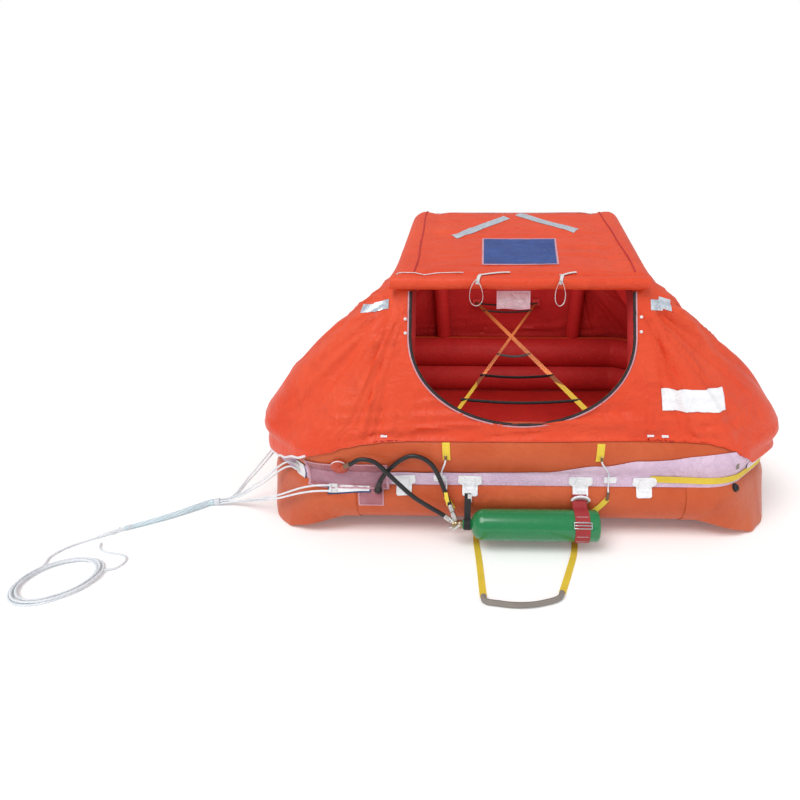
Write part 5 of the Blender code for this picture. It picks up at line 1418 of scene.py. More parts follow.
def white_line(name, path, radius, node=(), **more):
    """A laid white line or lashing."""
    return line_tube(name, path, radius, "line_white", "rope_white", node, **more)


def make_bridle_lines():
    half = LASHING_AXIS * (LASHING_LONG / 2)
    turns = [LASHING + half * (t * 2 - 1) * 0.86 + (LASHING_ASIDE * cos(12 * pi * t) + LASHING_RISE * sin(12 * pi * t))
             * (LASHING_R - 0.0024) for t in shares(160)]
    white_line("bridle_lashing_winding", turns, 0.0023, sides=8)
    white_line("bridle_lashing_core", [LASHING + half * (2 * t - 1) for t in shares(20)], LASHING_R - 0.0022,
               ("bridle_lashing",), sides=18, strands=6, pitch=0.2)
    face = LASHING + LASHING_AXIS * (LASHING_LONG / 2 + GAP)
    number = 0
    for (label, centre, out, width, height, side), places in zip(bridle_spots(), LINE_PLACES):
        for place, apart in zip(places, (LINE_APART, -LINE_APART)):
            number += 1
            end = face + (-LASHING_ASIDE * cos(radians(place)) + LASHING_RISE * sin(radians(place))) * LINE_CIRCLE
            path = bridle_route(centre, out, width, side, apart, end)
            piece = white_line("bridle_rope_%d" % number, path, BRIDLE_R, ("bridle_line_%d" % number,), strands=3)
            declare_line(path)


def coil_point(degrees, radius, height):
    angle = radians(degrees)
    return COIL_MIDDLE + Vector((cos(angle), sin(angle), 0)) * radius + Vector((0, 0, height))


def coil_tangent(degrees, run, height):
    """A point on the line that touches the outside of the coil at an angle, run past the touching point."""
    turn = radians(degrees)
    return coil_point(degrees, COIL_JOIN, height) + Vector((-sin(turn), cos(turn), 0)) * run


def painter_route():
    """From the knot along the floor, 4.6 turns round in two layers, and out again to its loose end."""
    start = smooth_through(PAINTER_LINE + [coil_tangent(COIL_IN, -0.030, COIL_LOW), coil_tangent(COIL_IN, 0, COIL_LOW)],
                           0.005)
    total = COIL_TURNS[-1][0]
    coil = []
    for turned in (total * t for t in shares(1100)[1:]):
        (t0, r0, h0), (t1, r1, h1) = next((low, high) for low, high in zip(COIL_TURNS, COIL_TURNS[1:])
                                          if turned <= high[0] + 1e-9)
        share = (turned - t0) / (t1 - t0)
        angle = COIL_IN + 360 * turned
        fade = eased(turned / 0.3) * eased((total - turned) / 0.3)
        wave = 0.0030 * sin(radians(2 * angle + 40)) + 0.0014 * sin(radians(3 * angle))
        wave += 0.0010 * sin(radians(angle * 0.7 + 25)) * sin(radians(5 * angle))
        coil.append(coil_point(angle, r0 + (r1 - r0) * share + fade * wave, h0 + (h1 - h0) * eased(share)))
    end = smooth_through([coil[-1], coil_tangent(COIL_OUT, 0.030, COIL_HIGH - 0.0020)] + PAINTER_TAIL, 0.005)[1:]
    return even(start + coil + end, 0.004)


def bundle_binding(path):
    """Thin cord wound five times round the bundle near its end."""
    lengths = run_lengths(path)
    frames = frames_along(path)
    binding = []
    for t in shares(120):
        along = len(path) * (0.90 + 0.055 * t)
        place = min(len(path) - 1, round(along))
        run, across, up = frames[place]
        radius = BUNDLE_R[0] + (BUNDLE_R[1] - BUNDLE_R[0]) * lengths[place] / lengths[-1] - 0.0004
        spot = path[place].lerp(path[min(place + 1, len(path) - 1)], along % 1)
        binding.append(spot + (across * cos(10 * pi * t) + up * sin(10 * pi * t)) * radius)
    return white_line("painter_bundle_binding", binding, 0.0016, sides=8)


def make_painter():
    path = routed(BUNDLE, 0.004)
    bundle = line_tube("painter_bundle_rope", path, BUNDLE_R[0], "bundle_white", "rope_white", ("painter_bundle",),
                       sides=30, strands=5, depth=0.16, pitch=0.11, radius_end=BUNDLE_R[1])
    route = painter_route()
    start, end = Vector(BUNDLE[-1]), route[0]
    heart, half = (start + end) / 2 + Vector((0, 0, 0.003)), (end - start) / 2
    aside = UPRIGHT.cross(half).normalized()
    rise = half.cross(aside).normalized()
    along = half.normalized()
    loops = [heart + along * (half.length - 0.006) * sin(2 * pi * t) * 0.82
             + (aside * cos(4 * pi * t) + rise * sin(6 * pi * t) * 0.7) * (0.0052 + 0.0012 * cos(6 * pi * t))
             for t in shares(140)]
    knot = white_line("painter_knot_loops", loops, 0.0040, ("painter_knot",), strands=3)
    through = smooth_through([start - along * 0.004, heart, end + along * 0.002], 0.003)
    inner = white_line("painter_knot_heart", through, 0.0060, sides=14, strands=3, depth=0.12, pitch=0.04)
    declare_line(path, pieces=[knot, inner, bundle_binding(path)])
    rope = white_line("painter_rope", route, PAINTER_R, ("painter_line", "painter_coil", "painter_tail"), strands=3)
    declare_line(route)


def make_stirrup():
    """Two webbing legs from under the lower tube, and the stiff step between them on the floor."""
    reach = TUBE_R + 0.0015
    root_y, root_z = -SIDE_Y - reach * cos(STIRRUP_ROOT), LOWER_Z + reach * sin(STIRRUP_ROOT)
    for name, route in (("stirrup_left", STIRRUP_LEFT), ("stirrup_right", STIRRUP_RIGHT)):
        path = routed([(route[0][0], root_y, root_z)] + route, 0.005)
        piece = ribbon(name + "_webbing", path, STIRRUP_WIDE, 0.0024, (1, 0, 0), "webbing_yellow",
                       (name,), columns=6, degrees=50)
        declare_line(path)
    path = routed(STEP, 0.005)
    piece = line_tube("stirrup_step_sleeve", path, STEP_R * 0.98, "webbing_grey", "step_grey", ("stirrup_step",),
                      sides=20, strands=2, depth=0.05, pitch=0.9)
    declare_line(path)


def on_front_tube(x, tube_z, angle, lift=GAP):
    """Point just off the front of a tube and the direction out of it, angle degrees above its middle."""
    turn = radians(angle)
    reach = TUBE_R + lift
    return Vector((x, -SIDE_Y - reach * cos(turn), tube_z + reach * sin(turn))), Vector((0, -cos(turn), sin(turn)))


def make_entrance_lines():
    down = Vector((0, -sin(radians(TAB_ANGLE)), -cos(radians(TAB_ANGLE))))
    foot_y = -(SIDE_Y + BAND_FACE + PATCH_T + LINE_R + 3 * GAP)
    for name, top_x, foot_x in ENTRANCE_LINES:
        spot, out = on_front_tube(top_x, UPPER_Z, TAB_ANGLE)
        face = spot + out * (PATCH_T + LINE_R + GAP)
        belly = Vector(((top_x + foot_x) / 2, -(SIDE_Y + TUBE_R + LINE_R + 0.003), UPPER_Z - 0.030))
        path = routed([face + down * 0.016, face + down * (TAB_LONG / 2 + 0.004), belly,
                       (foot_x, foot_y - 0.001, CREASE_Z + 0.030), (foot_x, foot_y, CREASE_Z + 0.002)], 0.003)
        piece = white_line(name + "_rope", path, LINE_R, (name,), strands=3, pitch=0.026)
        loop = collar(name + "_loop", path, LINE_R * 1.45, 0.001, 0.016, "webbing_brown")
        declare_line(path, pieces=[loop])


def roll_y():
    """How far forward the rolled door is when it rests against the shoulder of the canopy."""
    corner, peak = Vector((0, -SHOULDER_Y, SHOULDER_Z)), Vector((0, 0, PEAK_Z))
    to_foot, to_peak = (arch_foot(0, 0.06) - corner).normalized(), (peak - corner).normalized()
    middle = corner + (to_foot + to_peak).normalized() * (ARCH_BEND / sin(to_foot.angle(to_peak) / 2))
    return middle.y - sqrt((ARCH_BEND + SHELL_R + ROLL_R + GAP) ** 2 - (ROLL_Z - middle.z) ** 2)


ROLL_Y = roll_y()


def make_door_ties():
    """Two open loops of white tape that hang from the rolled door."""
    tie_y = ROLL_Y - ROLL_R - TIE_R - GAP
    for label, x, half_width in DOOR_TIES:
        path, sides = [], []
        for t in shares(72):
            angle = 2 * pi * t
            path.append(Vector((x + half_width * sin(angle) * (1 - 0.25 * cos(angle)) + 0.0035 * (t * 2 - 1),
                                tie_y - 0.0005 + 0.0015 * sin(3 * angle), TIE_Z + TIE_HALF_LONG * cos(angle))))
            sides.append(Vector((0.25 * cos(angle), 1, 0.2 * sin(2 * angle))))
        piece = ribbon("door_tie_tape_" + label, path, 0.0095, 0.0010, sides, "webbing_white",
                       ("door_tie_" + label,), columns=4, degrees=50)
        declare_line(path)


def make_lines():
    make_hoses()
    make_bridle_lines()
    make_painter()
    make_stirrup()
    make_entrance_lines()
    make_door_ties()


# Trim that lies on the canopy

SIDES = (("left", -1), ("right", 1))


class Cloth:
    """The outside of a finished piece, on which trim is laid."""

    def __init__(self, piece):
        bm = bmesh.new()
        bm.from_mesh(piece.data)
        self.tree = BVHTree.FromBMesh(bm)
        bm.free()

    def towards(self, start, heading, lift):
        """Where a line from a start along a heading meets the cloth, raised off it by a lift."""
        shift = Vector((0, RAFT_Y, 0))
        heading = Vector(heading).normalized()
        spot, normal, index, distance = self.tree.ray_cast(Vector(start) + shift, heading)
        if spot is None:
            spot, normal, index, distance = self.tree.find_nearest(Vector(start) + shift)
        if normal.dot(heading) > 0:
            normal = -normal
        return spot - shift + normal * lift

    def below(self, x, y, lift):
        return self.towards((x, y, 1.6), (0, 0, -1), lift)

    def behind(self, x, z, lift):
        return self.towards((x, -1.6, z), (0, 1, 0), lift)


def make_roof_trim(cloth):
    """The blank panel with its border, two reflective tapes and three seams."""
    def panel_spot(u, v):
        pucker = 0.0012 * crease_noise((u * 5, v * 5, 1), 71) * (1 - abs(2 * u - 1) ** 6)
        return cloth.below(-0.160 + (0.334 - 0.020 * v) * u + 0.004 * (v - 0.5), -0.335 - 0.280 * v,
                           0.0024 + abs(pucker))

    trim_sheet("roof_panel_blank", grid(shares(44, 0.022), shares(30, 0.024), panel_spot), 0.0010,
               "panel_cloth", "border_cloth")
    # one row for each reflective tape on the roof: start x, y, end x, y
    for number, (x0, y0, x1, y1) in enumerate(((-0.292, -0.318, -0.045, -0.088), (0.010, -0.045, 0.275, -0.252))):
        run = Vector((x1 - x0, y1 - y0, 0))
        side = Vector((-run.y, run.x, 0)).normalized() * 0.023
        rows = grid(shares(44), shares(8), lambda u, v: cloth.towards(
            Vector((x0, y0, 1.6)) + run * v + side * (2 * u - 1), (0, 0, -1), 0.0020))
        trim_sheet("roof_tape_%d" % (number + 1), rows, 0.0007, "tape_silver")
    # the two seams beside the arches are thin lines of the dark lining cloth: painted shade along the seams
    for label, side in SIDES:
        seam = [cloth.below(side * (ARCH_X - 0.030) - 0.012 * cos(y * 5) + 0.002 * sin(y * 19), y, 0.0022)
                for y in (-0.695 + 1.390 * t for t in shares(140))]
        ribbon("roof_seam_shade_line_" + label, seam, 0.0055, 0.0014, (1, 0, 0), "lining_cloth")
    ribbon("ridge_seam", [cloth.below(-0.40 + 0.80 * t, 0.0, 0.0016) for t in shares(80)], 0.022, 0.0012, (0, 1, 0),
           "canopy_cloth", columns=4)


def make_wall_trim(cloth):
    """The blank label, reflective tapes, snaps and small tags on the front wall."""
    rows = grid(shares(24, 0.02), shares(56, 0.012), lambda u, v: cloth.behind(
        0.528 + 0.250 * u + 0.006 * v, 0.606 - 0.079 * v - 0.006 * u, 0.0026))
    trim_sheet("label_blank", rows, 0.0006, "label_cloth", "piping_cloth")
    # one row for each reflective tape beside the entrance: name, x, z, half width, half height, lean, lift
    for name, x, z, half_x, half_z, lean, lift in (("left_low", -0.602, 0.884, 0.034, 0.014, 0.14, 0.0012),
                                                   ("left_high", -0.548, 0.896, 0.032, 0.017, 0.28, 0.0020),
                                                   ("right_low", 0.520, 0.903, 0.028, 0.019, -0.12, 0.0012),
                                                   ("right_high", 0.556, 0.906, 0.026, 0.020, -0.30, 0.0020)):
        rows = grid(shares(6), shares(10), lambda u, v: cloth.behind(
            x + half_x * (2 * u - 1), z + half_z * (1 - 2 * v) + lean * half_x * (2 * u - 1), lift))
        trim_sheet("side_tape_" + name, rows, 0.0007, "tape_silver")
    for name, x, z in (("left_high", -0.448, 0.852), ("left_low", -0.447, 0.801),
                       ("right_high", 0.455, 0.862), ("right_low", 0.454, 0.809)):
        turned_fitting("snap_" + name, cloth.behind(x, z, 0.0), WALL_OUT, 0.0062, 0.0030,
                       [(0.0054, 0.0010), (0.0038, 0.0), (0.0035, 0.0018), (0.0022, 0.0008)],
                       "snap_white", sides=20)
    for name, x, z in (("left", -0.525, 0.428), ("middle", 0.490, 0.437), ("right", 0.545, 0.434)):
        rows = grid(shares(4), shares(4), lambda u, v: cloth.behind(
            x + 0.013 * (2 * u - 1), z + 0.004 - 0.009 * v, 0.0014 + 0.002 * v))
        trim_sheet("hem_tag_" + name, rows, 0.0008, "piping_cloth")


def make_hem_binding():
    """The seam along the raised lower edge: a folded tape from the left corner to the right one."""
    path, sides = [], []
    for point, out, run in ring_line(0.012, 3.0):
        spot = point + out * TUBE_R
        hem = read_off(HEM_POINTS_RIGHT if spot.x > 0 else HEM_POINTS, abs(spot.x))
        if point.y >= -0.4 or hem < UPPER_Z + 0.012:
            continue
        angle = asin((hem - UPPER_Z) / TUBE_R)
        reach = TUBE_R + 0.0030 + 0.0006 * crease_noise(spot * 14, 81)
        path.append(point + out * reach * cos(angle) + UPRIGHT * (UPPER_Z + reach * sin(angle)))
        sides.append(out * -sin(angle) + UPRIGHT * cos(angle))
    ribbon("hem_binding", path, 0.015, 0.0016, sides, "canopy_cloth", columns=4, sag=-0.0006)


def make_zip():
    """The zip round the entrance: its tape, its teeth, the piping outside it and two pulls."""
    flat = even([Vector((x * 1.010, 0, z - 0.003)) for x, z in door_outline(80, 0.955)], 0.006)
    path = [Vector((spot.x, wall_y(spot.z), spot.z)) + WALL_OUT * 0.0048 for spot in flat]
    sides = [heading_at(flat, number).cross(Vector((0, -1, 0))) for number in range(len(flat))]
    outward = 1 if sides[len(sides) // 2].z < 0 else -1
    ribbon("entrance_zip_tape", path, 0.0105, 0.0012, sides, "webbing_black", ("entrance_zip",), columns=4)
    line_tube("entrance_zip_teeth", [spot + WALL_OUT * 0.0014 for spot in path], 0.0021, "zip_teeth", "zip_black",
              sides=10)
    outer = [spot + side * 0.0085 * outward - WALL_OUT * 0.0012 for spot, side in zip(path, sides)]
    ribbon("entrance_piping", outer, 0.0055, 0.0022, sides, "border_cloth", columns=4)
    for label, number in (("left", 12), ("right", len(path) - 13)):
        pull = [path[number] + WALL_OUT * (0.0050 + 0.002 * sin(t * pi)) - UPRIGHT * 0.040 * t for t in shares(8)]
        ribbon("zip_pull_" + label, pull, 0.010, 0.0016, (1, 0, 0), "webbing_black")


SEWN_ROWS = 5              # rows of the rolled door that lie on the roof, before it hangs
ROLL_TURNS = 2.55
ROLL_OUTER = 0.0262        # radius of the rolled cloth's outermost turn
ROLL_CORE = 0.0070
ROLL_LIMIT = 0.0272        # no fold of the roll stands out past this


def make_door_roll(cloth):
    """The entrance's flap, rolled up on itself under the shoulder and sewn to it along the top."""
    tops = [cloth.below(0, -0.690 - 0.009 * step, 0.0030) for step in range(SEWN_ROWS)]
    section = [(top.y, top.z) for top in tops]
    for t in shares(96):
        angle, radius = radians(68) + t * ROLL_TURNS * 2 * pi, ROLL_OUTER - (ROLL_OUTER - ROLL_CORE) * t
        section.append((ROLL_Y + radius * cos(angle), ROLL_Z + radius * sin(angle)))
    rows = []
    for t in shares(120):
        x = ROLL_ENDS[0] + (ROLL_ENDS[1] - ROLL_ENDS[0]) * t
        row = []
        for place, (y, z) in enumerate(section):
            wind = place / len(section)
            wave = crease_noise((x * 7 + wind * 3, wind * 6, 2.0), 91) * 0.0016
            wave += crease_noise((x * 26, wind * 4, 4.0), 92) * 0.0007
            if place < SEWN_ROWS:
                row.append(cloth.below(x * 0.985, y, 0.0030 + abs(wave) * 0.4))
                continue
            away = Vector((y - ROLL_Y, z - ROLL_Z))
            grown = (1 + wave / max(away.length, 0.006)) * min(1.0, ROLL_LIMIT / max(away.length, 0.001))
            row.append(Vector((x + 0.006 * sin(wind * 17) * abs(2 * t - 1) ** 8, ROLL_Y + away.x * grown,
                               ROLL_Z + away.y * grown - 0.0020 * sin(t * pi * 3) ** 2)))
        rows.append(row)
    piece = mesh_piece("door_rolled_up", skin("door_rolled_up", rows))
    outward_faces(piece.data, Vector((0, -1, 0)))
    modify(piece, "SOLIDIFY", thickness=0.0016, offset=0)
    weld(piece.data, 0.00001)
    settle(piece, "canopy_cloth", ("door_roll",), 50)
    # one row for each white tape that the roll is tied with: x where it starts on the roof, x where it hangs from
    for number, (far_x, x) in enumerate(((-0.045, -0.160), (0.215, 0.152))):
        top = [cloth.below(far_x + (x - far_x) * t, -0.694 - 0.016 * t ** 2, 0.0075) for t in shares(12)]
        strap = [Vector((x - 0.012 * t, ROLL_Y + 0.0318 * cos(angle), ROLL_Z + 0.0318 * sin(angle)))
                 for t, angle in ((t, radians(84 + 98 * t)) for t in shares(16))]
        path = routed(top[::3] + strap[::4], 0.005)
        sides = [Vector((0, 0.95, 0.3)).lerp(Vector((1, 0.2, 0)), eased((t - 0.35) / 0.4))
                 for t in shares(len(path) - 1)]
        ribbon("roll_tape_%d" % (number + 1), path, 0.012, 0.0014, sides, "webbing_white")
    piping = [cloth.below(-0.490 + 0.262 * t, -0.698 - 0.003 * sin(t * pi), 0.0066) for t in shares(40)]
    line_tube("roll_piping", piping, 0.0021, "piping_cloth", "tape_white", sides=8)


POCKET_X = (-0.097, 0.032)
POCKET_Z = (0.888, ROLL_Z - ROLL_R - GAP)


def make_card_pocket():
    """A clear pocket that hangs from the rolled door, with a pink card in its lower half."""
    wide, high = POCKET_X[1] - POCKET_X[0], POCKET_Z[1] - POCKET_Z[0]
    rows = grid(shares(14), shares(20), lambda u, v: Vector((
        POCKET_X[0] + wide * u, ROLL_Y - 0.001 + 0.0030 * crease_noise((u * 3, v * 4, 1), 95) - 0.006 * v,
        POCKET_Z[1] - high * v + 0.002 * sin(u * 7) * v)))
    card = [[spot + Vector((0.004 * (1 - 2 * u), 0.0022, 0.002)) for u, spot in zip(shares(20), row)]
            for v, row in zip(shares(14), rows) if v >= 0.45]
    film = trim_sheet("card_pocket_film", rows, 0.0006, "pocket_film", "border_cloth", "card_pocket")
    trim_sheet("card_in_pocket", card, 0.0006, "card_pink")


LADDER_FAR_Z = 0.710
LADDER_NEAR_Z = 0.5115
LADDER_SEAT = CLOTH / -OUT_OF_WALL[0] + 0.009 * (ALONG_WALL[0] / ALONG_WALL[1] + 0.15) + GAP
# one row for each strap: near x, far x
LADDER_STRAPS = [(0.262, -0.232), (-0.253, 0.197)]
LADDER_RUNGS = [0.03, 0.14, 0.62, 0.78, 0.93]


def strap_point(strap, share):
    """A point of a ladder strap, from the back wall to the entrance's sill."""
    near = Vector((strap[0], wall_y(LADDER_NEAR_Z) + LADDER_SEAT, LADDER_NEAR_Z))
    far = Vector((strap[1], -wall_y(LADDER_FAR_Z) - LADDER_SEAT, LADDER_FAR_Z))
    return far + (near - far) * share


def make_ladder():
    """Two crossed webbing straps inside, in shade at the back, with dark rungs between them."""
    for number, strap in enumerate(LADDER_STRAPS):
        lift = Vector((0, 0, 0.0012 * (1 - 2 * number)))
        path = [strap_point(strap, t) + lift for t in shares(160)][:157 + 3 * number]
        piece = ribbon("ladder_strap_%d" % (number + 1), path, 0.022, 0.0020, (1, -0.25 if number else 0.25, 0.35),
                       None, ("inner_ladder",) if number == 0 else (), columns=6)
        # painted shade: the straps' upper, back parts take the darker webbing_shaded colour, their lower parts the
        # yellow
        give_finish(piece, "webbing_shaded", "webbing_yellow")
        for polygon in piece.data.polygons:
            polygon.material_index = 1 if polygon.center.z < path[133].z else 0
        declare_line(path)
        spot = strap_point(strap, 0.012)
        rows = grid(shares(4), shares(4), lambda u, v: spot + Vector((0.026 * (2 * u - 1), 0.004, 0.022 * (1 - 2 * v))))
        trim_sheet("ladder_patch_%d" % (number + 1), rows, 0.0016, "lining_cloth")
    for number, share in enumerate(LADDER_RUNGS):
        start, end = (strap_point(strap, share) for strap in LADDER_STRAPS)
        sag = 0.004 + 0.035 * (start - end).length * (1.6 if number == 2 else 0.6)
        path = [start.lerp(end, -0.04 + 1.08 * t) - Vector((0, 0, sag * sin(pi * t) - 0.002)) for t in shares(40)]
        piece = line_tube("ladder_rung_%d" % (number + 1), path, 0.0062, "webbing_black", "rubber_black", strands=3,
                          depth=0.06, pitch=0.05)
        declare_line(path)


# Patches and fittings on the tubes

def front_reach(z):
    """How far the tubes and the band between them reach forward of the tubes' middle line at a height."""
    if z > UPPER_Z:
        return sqrt(max(0, TUBE_R ** 2 - (z - UPPER_Z) ** 2))
    tube_z = UPPER_Z if z > CREASE_Z else LOWER_Z
    round_one = sqrt(max(0, TUBE_R ** 2 - (z - tube_z) ** 2))
    if abs(z - CREASE_Z) < 0.040:
        share = eased((0.040 - abs(z - CREASE_Z)) / 0.014)
        return max(round_one, BAND_FACE + 0.0004) * share + round_one * (1 - share) + 0.0004
    return round_one


def front_spot(x, z, lift):
    return Vector((x, -SIDE_Y - front_reach(z) - lift, z))


T_TOP = 0.022
T_FOOT = 0.058
PATCH_Z = CREASE_Z - 0.006
# one row for each T patch on the front: name, x, lean
T_PATCHES = [("t_patch_left", -0.455, 0.06), ("t_patch_neck", -0.196, -0.03),
             ("t_patch_base", 0.235, 0.0), ("t_patch_lifeline", 0.482, 0.03)]


def t_half_width(v):
    """Half width of a T patch at a height over its middle: a bar with a stem that widens into it."""
    if v > -0.008:
        return 0.046
    if v > -0.020:
        return 0.046 - 0.016 * eased((-0.008 - v) / 0.012)
    return 0.030 - 0.002 * eased((-0.050 - v) / 0.008)


def make_patches():
    def t_spot(u, t):
        v = T_TOP - (T_TOP + T_FOOT) * t
        corner = 0.006 * (1 - min(1, (T_TOP - v) / 0.006)) ** 2 + 0.005 * (1 - min(1, (v + T_FOOT) / 0.005)) ** 2
        across = (t_half_width(v) - corner) * (2 * u - 1)
        rumple = 0.0012 * crease_noise((across * 40 + x * 9, v * 40, 1), 101)
        return front_spot(x + across, PATCH_Z + v + across * lean, 0.0022 + abs(rumple))

    for name, x, lean in T_PATCHES:
        trim_sheet(name + "_cloth", grid(shares(40), shares(20), t_spot), 0.0022, "patch_cloth",
                   None, name)
        rows = grid(shares(12), shares(8), lambda u, v: front_spot(
            x + 0.020 * (2 * u - 1), PATCH_Z + (0.012 - 0.046 * v), 0.0052))
        trim_sheet(name + "_tab", rows, 0.0016, "patch_cloth")
    for name, x in (("line_patch_left", -0.315), ("line_patch_right", 0.349)):
        rows = grid(shares(8), shares(14), lambda u, v: front_spot(
            x + 0.0245 * (2 * u - 1) * (1 - 0.10 * (2 * v - 1) ** 4), CREASE_Z + 0.004 + 0.013 * (1 - 2 * v), 0.0016))
        trim_sheet(name + "_cloth", rows, 0.0020, "patch_cloth", None, name)
    for name, x, lean in (("line_tab_left", -0.285, 0.06), ("line_tab_right", 0.300, -0.12)):
        rows = []
        for v in shares(16):
            spots = [on_front_tube(x + 0.0145 * (2 * u - 1) + lean * 0.03 * (2 * v - 1), UPPER_Z,
                                   TAB_ANGLE + 17.5 - 35 * v, 0.0016) for u in shares(6)]
            rows.append([spot + out * 0.002 * eased((v - 0.8) / 0.2) for spot, out in spots])
        trim_sheet(name + "_webbing", rows, 0.0022, "webbing_yellow", None, name)
    # one row for each lower tab: name, top x, top z, foot x, foot z
    for name, x0, z0, x1, z1 in (("left", -0.290, 0.187, -0.262, 0.132), ("right", 0.340, 0.184, 0.286, 0.122)):
        aside = (z0 - z1, 0, x1 - x0)
        path = [front_spot(x0 + (x1 - x0) * t, z0 + (z1 - z0) * t, 0.0022) for t in shares(14)]
        ribbon("lower_tab_" + name, path, 0.021, 0.0022, aside, "webbing_yellow", columns=4)
        start = front_spot(x0 + (0.004 if x0 > 0 else -0.004), z0 + 0.028, 0.0035)
        loop = [start.lerp(path[1] + Vector((0, -0.004, 0)), t) for t in shares(8)]
        ribbon("lower_loop_" + name, loop, 0.012, 0.0022, aside, "webbing_brown")
        rope = [front_spot(x0 + 0.002, z0 + 0.070 - 0.045 * t, 0.0060) for t in shares(10)]
        piece = white_line("lower_line_" + name, rope, 0.0032, sides=10, strands=3, pitch=0.026)
        declare_line(rope)


BOTTLE_R = 0.0605
BOTTLE_Y = -1.044
BOTTLE_Z = 0.1005
BOTTLE_X = (-0.190, 0.301)
BOTTLE_DOME = 0.052
BOTTLE_FOOT = 0.0465       # radius of the flat it stands on
NECK_R = 0.019
NECK_LONG = 0.030


def make_bottle():
    """The gas cylinder, lying, with its neck towards the left."""
    length = BOTTLE_X[1] - BOTTLE_X[0]
    outline = [(BOTTLE_FOOT, 0.0)]
    outline += [(BOTTLE_FOOT + 0.014 * sin(turn), 0.014 - 0.014 * cos(turn))
                for turn in (radians(15 * n) for n in range(1, 7))]
    outline += [(BOTTLE_R, 0.030), (BOTTLE_R, length - BOTTLE_DOME)]
    outline += [(BOTTLE_R * cos(turn), length - BOTTLE_DOME + BOTTLE_DOME * sin(turn))
                for turn in (radians(8 * n) for n in range(1, 10))]
    outline += [(NECK_R + 0.0012, length - 0.0015), (NECK_R, length + 0.002), (NECK_R, length + 0.010),
                (NECK_R * 0.93, length + 0.012), (NECK_R * 0.93, length + 0.019), (NECK_R, length + 0.021),
                (NECK_R, length + NECK_LONG)]
    steps = [(here[0], here[1] - before[1]) for here, before in zip(outline[1:], outline)]
    turned_fitting("gas_cylinder_body", (BOTTLE_X[1], BOTTLE_Y, BOTTLE_Z), (-1, 0, 0), 0.0400, 0.0008,
                   [(BOTTLE_FOOT, 0.0006)] + steps, "cylinder_green", ("gas_cylinder",), 56)


def make_valve():
    """The valve on the cylinder's neck, its two outlets, its tip and lever, and a tag on the lower hose."""
    root = Vector((BOTTLE_X[0] - NECK_LONG - GAP, BOTTLE_Y, BOTTLE_Z))
    turned_fitting("valve_body", root, (-1, 0, 0), 0.0150, 0.005,
                   [(0.0170, 0.0), (0.0170, 0.009), (0.0146, 0.001), (0.0146, 0.004), (0.0166, 0.001),
                    (0.0166, 0.012), (0.0130, 0.003), (0.0122, 0.006), (0.0085, 0.0035)],
                   "valve_brass", ("cylinder_valve",), 24, 0.0004)
    heart = root - Vector((0.024, 0, 0))
    for label, route in (("upper", HOSE_UPPER), ("lower", HOSE_LOWER)):
        run = Vector(route[-1]) - heart
        full = run.length - 0.0006
        turned_fitting("valve_outlet_" + label, heart, run, 0.0085, full * 0.45,
                       [(0.0106, 0.0), (0.0106, full * 0.30), (0.0092, 0.0008), (0.0092, full * 0.25 - 0.0008)],
                       "valve_steel", (), 6, 0.0006)
    turned_fitting("valve_tip", root + Vector((-0.034, 0, -0.004)), (-0.022, 0, -0.014), 0.0096, 0.006,
                   [(0.0080, 0.002), (0.0080, 0.008), (0.0050, 0.006), (0.0030, 0.004)],
                   "valve_steel", (), 20, 0.0004)
    lever = [root + Vector((-0.010 - 0.004 * step, -0.0185, 0.010 - 0.0035 * step)) for step in range(8)]
    ribbon("valve_lever", lever, 0.009, 0.0022, (0.6, 0, 0.8), "valve_steel")
    path = routed(HOSE_LOWER, 0.006)
    lengths = run_lengths(path)
    spot = path[min(range(len(path)), key=lambda number: abs(lengths[-1] - lengths[number] - 0.062))]
    rows = grid(shares(8), shares(3), lambda u, v: spot + Vector((
        -0.005 + 0.014 * u - 0.006 + v * 0.010, -0.0105 - 0.002 * sin(pi * v), 0.026 - 0.058 * v)))
    trim_sheet("hose_tag", rows, 0.0008, "tag_yellow")


def round_bottle(x, degrees, lift):
    """A point off the cylinder's side, degrees above its front."""
    return Vector((x, BOTTLE_Y - (BOTTLE_R + lift) * cos(radians(degrees)),
                   BOTTLE_Z + (BOTTLE_R + lift) * sin(radians(degrees))))


BUCKLE_ANGLE = 32


def make_buckle(x):
    """Three bars and two sides of bent wire on the base strap, and the strap's stitches."""
    front = round_bottle(x, BUCKLE_ANGLE, 0.0042)
    lean = radians(BUCKLE_ANGLE)
    normal, rise = Vector((0, -cos(lean), sin(lean))), Vector((0, sin(lean), cos(lean)))
    for number, height in enumerate((-0.01075, 0.00025, 0.01075)):
        bar = [front + rise * height + Vector((u * 0.033, 0, 0)) + normal * 0.0004 for u in (-1, -0.5, 0, 0.5, 1)]
        line_tube("buckle_bar_%d" % (number + 1), bar, 0.0019, "buckle_steel", "valve_brass", sides=10)
    for label, side in SIDES:
        bar = [front + rise * (-0.012 + 0.024 * t) + Vector((side * 0.0325, 0, 0)) for t in shares(6)]
        line_tube("buckle_side_" + label, bar, 0.0021, "buckle_steel", "valve_brass", sides=10)
    for number, degrees in enumerate((-34, -8, 44, 62)):
        stitch = [round_bottle(x - 0.022 + 0.044 * t, degrees, 0.0033) for t in shares(20)]
        white_line("base_strap_stitch_%d" % (number + 1), stitch, 0.0007, sides=6, strands=2, depth=0.3, pitch=0.006)


